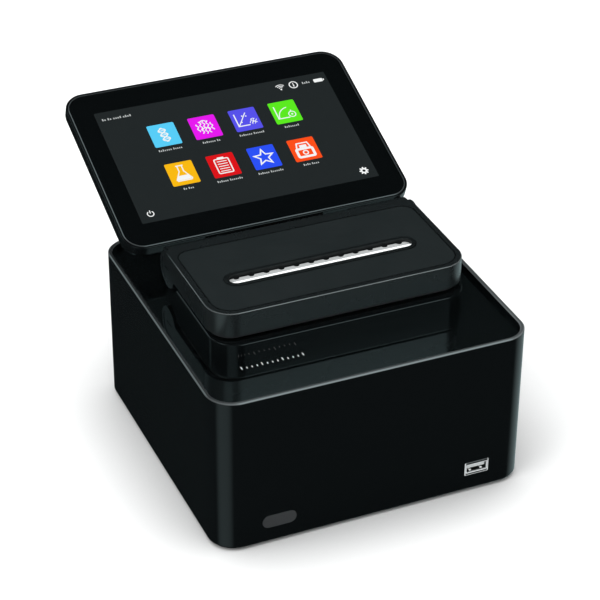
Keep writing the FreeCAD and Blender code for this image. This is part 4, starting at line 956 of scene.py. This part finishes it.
def world():
    """White to the camera, even to matt surfaces, and a few soft glows to polished ones."""
    made = bpy.data.worlds.new("studio")
    bpy.context.scene.world = made
    made.use_nodes = True
    tree = made.node_tree
    background = tree.nodes["Background"]

    def number(kind, *values):
        step = tree.nodes.new("ShaderNodeMath")
        step.operation = kind
        for socket, value in zip(step.inputs, values):
            if isinstance(value, bpy.types.NodeSocket):
                tree.links.new(value, socket)
            else:
                socket.default_value = value
        return step.outputs[0]

    direction = tree.nodes.new("ShaderNodeTexCoord").outputs["Generated"]

    def glow(toward, strength, inner, outer):
        """A soft round glow about a direction, full inside one angle and gone outside another."""
        dot = tree.nodes.new("ShaderNodeVectorMath")
        dot.operation = "DOT_PRODUCT"
        tree.links.new(direction, dot.inputs[0])
        dot.inputs[1].default_value = Vector(toward).normalized()
        fade = tree.nodes.new("ShaderNodeMapRange")
        fade.interpolation_type = "SMOOTHSTEP"
        tree.links.new(dot.outputs["Value"], fade.inputs["Value"])
        fade.inputs["From Min"].default_value = math.cos(math.radians(outer))
        fade.inputs["From Max"].default_value = math.cos(math.radians(inner))
        fade.inputs["To Max"].default_value = strength
        return fade.outputs["Result"]

    total = DARK
    for lobe in GLOWS:
        total = number("ADD", glow(*lobe), total)
    ray = tree.nodes.new("ShaderNodeLightPath")
    to_matt = number("MULTIPLY", ray.outputs["Is Diffuse Ray"], AMBIENT)
    to_gloss = number("MULTIPLY", ray.outputs["Is Glossy Ray"], total)
    to_camera = number("MULTIPLY", ray.outputs["Is Camera Ray"], CAMERA_WHITE)
    clear = number("MULTIPLY", ray.outputs["Is Transmission Ray"], THROUGH_GLASS)
    level = number("ADD", number("ADD", to_matt, to_gloss), number("ADD", to_camera, clear))
    tree.links.new(level, background.inputs["Strength"])
    tint = tree.nodes.new("ShaderNodeMix")
    tint.data_type = "RGBA"
    tree.links.new(ray.outputs["Is Glossy Ray"], tint.inputs["Factor"])
    tint.inputs["A"].default_value = MATT_TINT
    tint.inputs["B"].default_value = GLOSS_TINT
    tree.links.new(tint.outputs["Result"], background.inputs["Color"])


def floor():
    """A pale floor, out of the reflections, with a painted contact shadow: darker where the object stands
    on it.
    """
    reach, contact_reach = 6.0, 0.05
    mesh = bpy.data.meshes.new("floor")
    mesh.from_pydata([(-reach, -reach, 0), (reach, -reach, 0), (reach, reach, 0), (-reach, reach, 0)],
                     [], [(0, 1, 2, 3)])
    ground = bpy.data.objects.new("floor", mesh)
    bpy.context.scene.collection.objects.link(ground)
    shader = Shader("floor", roughness=0.8)
    shader.set("Specular IOR Level", 0.0)
    # Painted shadow: the floor's colour darkens with occlusion close to the object.
    near = shader.node("AmbientOcclusion", Distance=contact_reach)
    contact_shadow = shader.ramp(near.outputs["AO"], 0.50, 1.0, 0.3, 1.0)
    tone = shader.number("MULTIPLY", contact_shadow, shader.ramp(shader.noise(2, 2), 0.97, 1.0))
    shader.link(shader.blend(tone, (0, 0, 0), (0.92, 0.92, 0.92)), "Base Color")
    mesh.materials.append(shader.material)
    ground.visible_glossy = False


def softbox(name, at, aim, size, watts):
    """A large soft light that polished surfaces don't mirror."""
    lamp = bpy.data.lights.new(name, "AREA")
    lamp.shape = "RECTANGLE"
    lamp.size, lamp.size_y = size
    lamp.energy = watts
    holder = bpy.data.objects.new(name, lamp)
    bpy.context.scene.collection.objects.link(holder)
    holder.location = at
    holder.rotation_euler = (Vector(aim) - Vector(at)).to_track_quat("-Z", "Y").to_euler()
    holder.visible_glossy = False


def camera():
    """Looks at the middle of the object from the front left and above."""
    aim = Vector((-0.00553, 0.00240, 0.08872))
    turn, rise, roll = math.radians(-23.476), math.radians(32.147), math.radians(0.46)
    distance = 1.2290
    toward = Vector((math.sin(turn) * math.cos(rise), -math.cos(turn) * math.cos(rise), math.sin(rise)))
    at = aim + distance * toward
    lens = bpy.data.cameras.new("camera")
    lens.sensor_width = 36
    lens.lens = 129.6
    holder = bpy.data.objects.new("camera", lens)
    bpy.context.scene.collection.objects.link(holder)
    holder.location = at
    look = (aim - at).to_track_quat("-Z", "Y")
    holder.rotation_mode = "QUATERNION"
    holder.rotation_quaternion = look @ Matrix.Rotation(roll, 3, "Z").to_quaternion()
    bpy.context.scene.camera = holder


def studio():
    """The room, its two lights and the camera."""
    middle = (0, 0, 0.05)
    world()
    floor()
    softbox("key", (-1.2, -0.25, 1.4), middle, (1.2, 1.2), 14)
    softbox("fill", (0.9, -0.2, 1.3), middle, (1.4, 1.0), 1.5)
    camera()
    bpy.context.scene.view_settings.view_transform = "Standard"


display()
glass_trim()
port_springs()
display_tail()
rocker_marks()
groove_shading()
deck_marks()
studio()
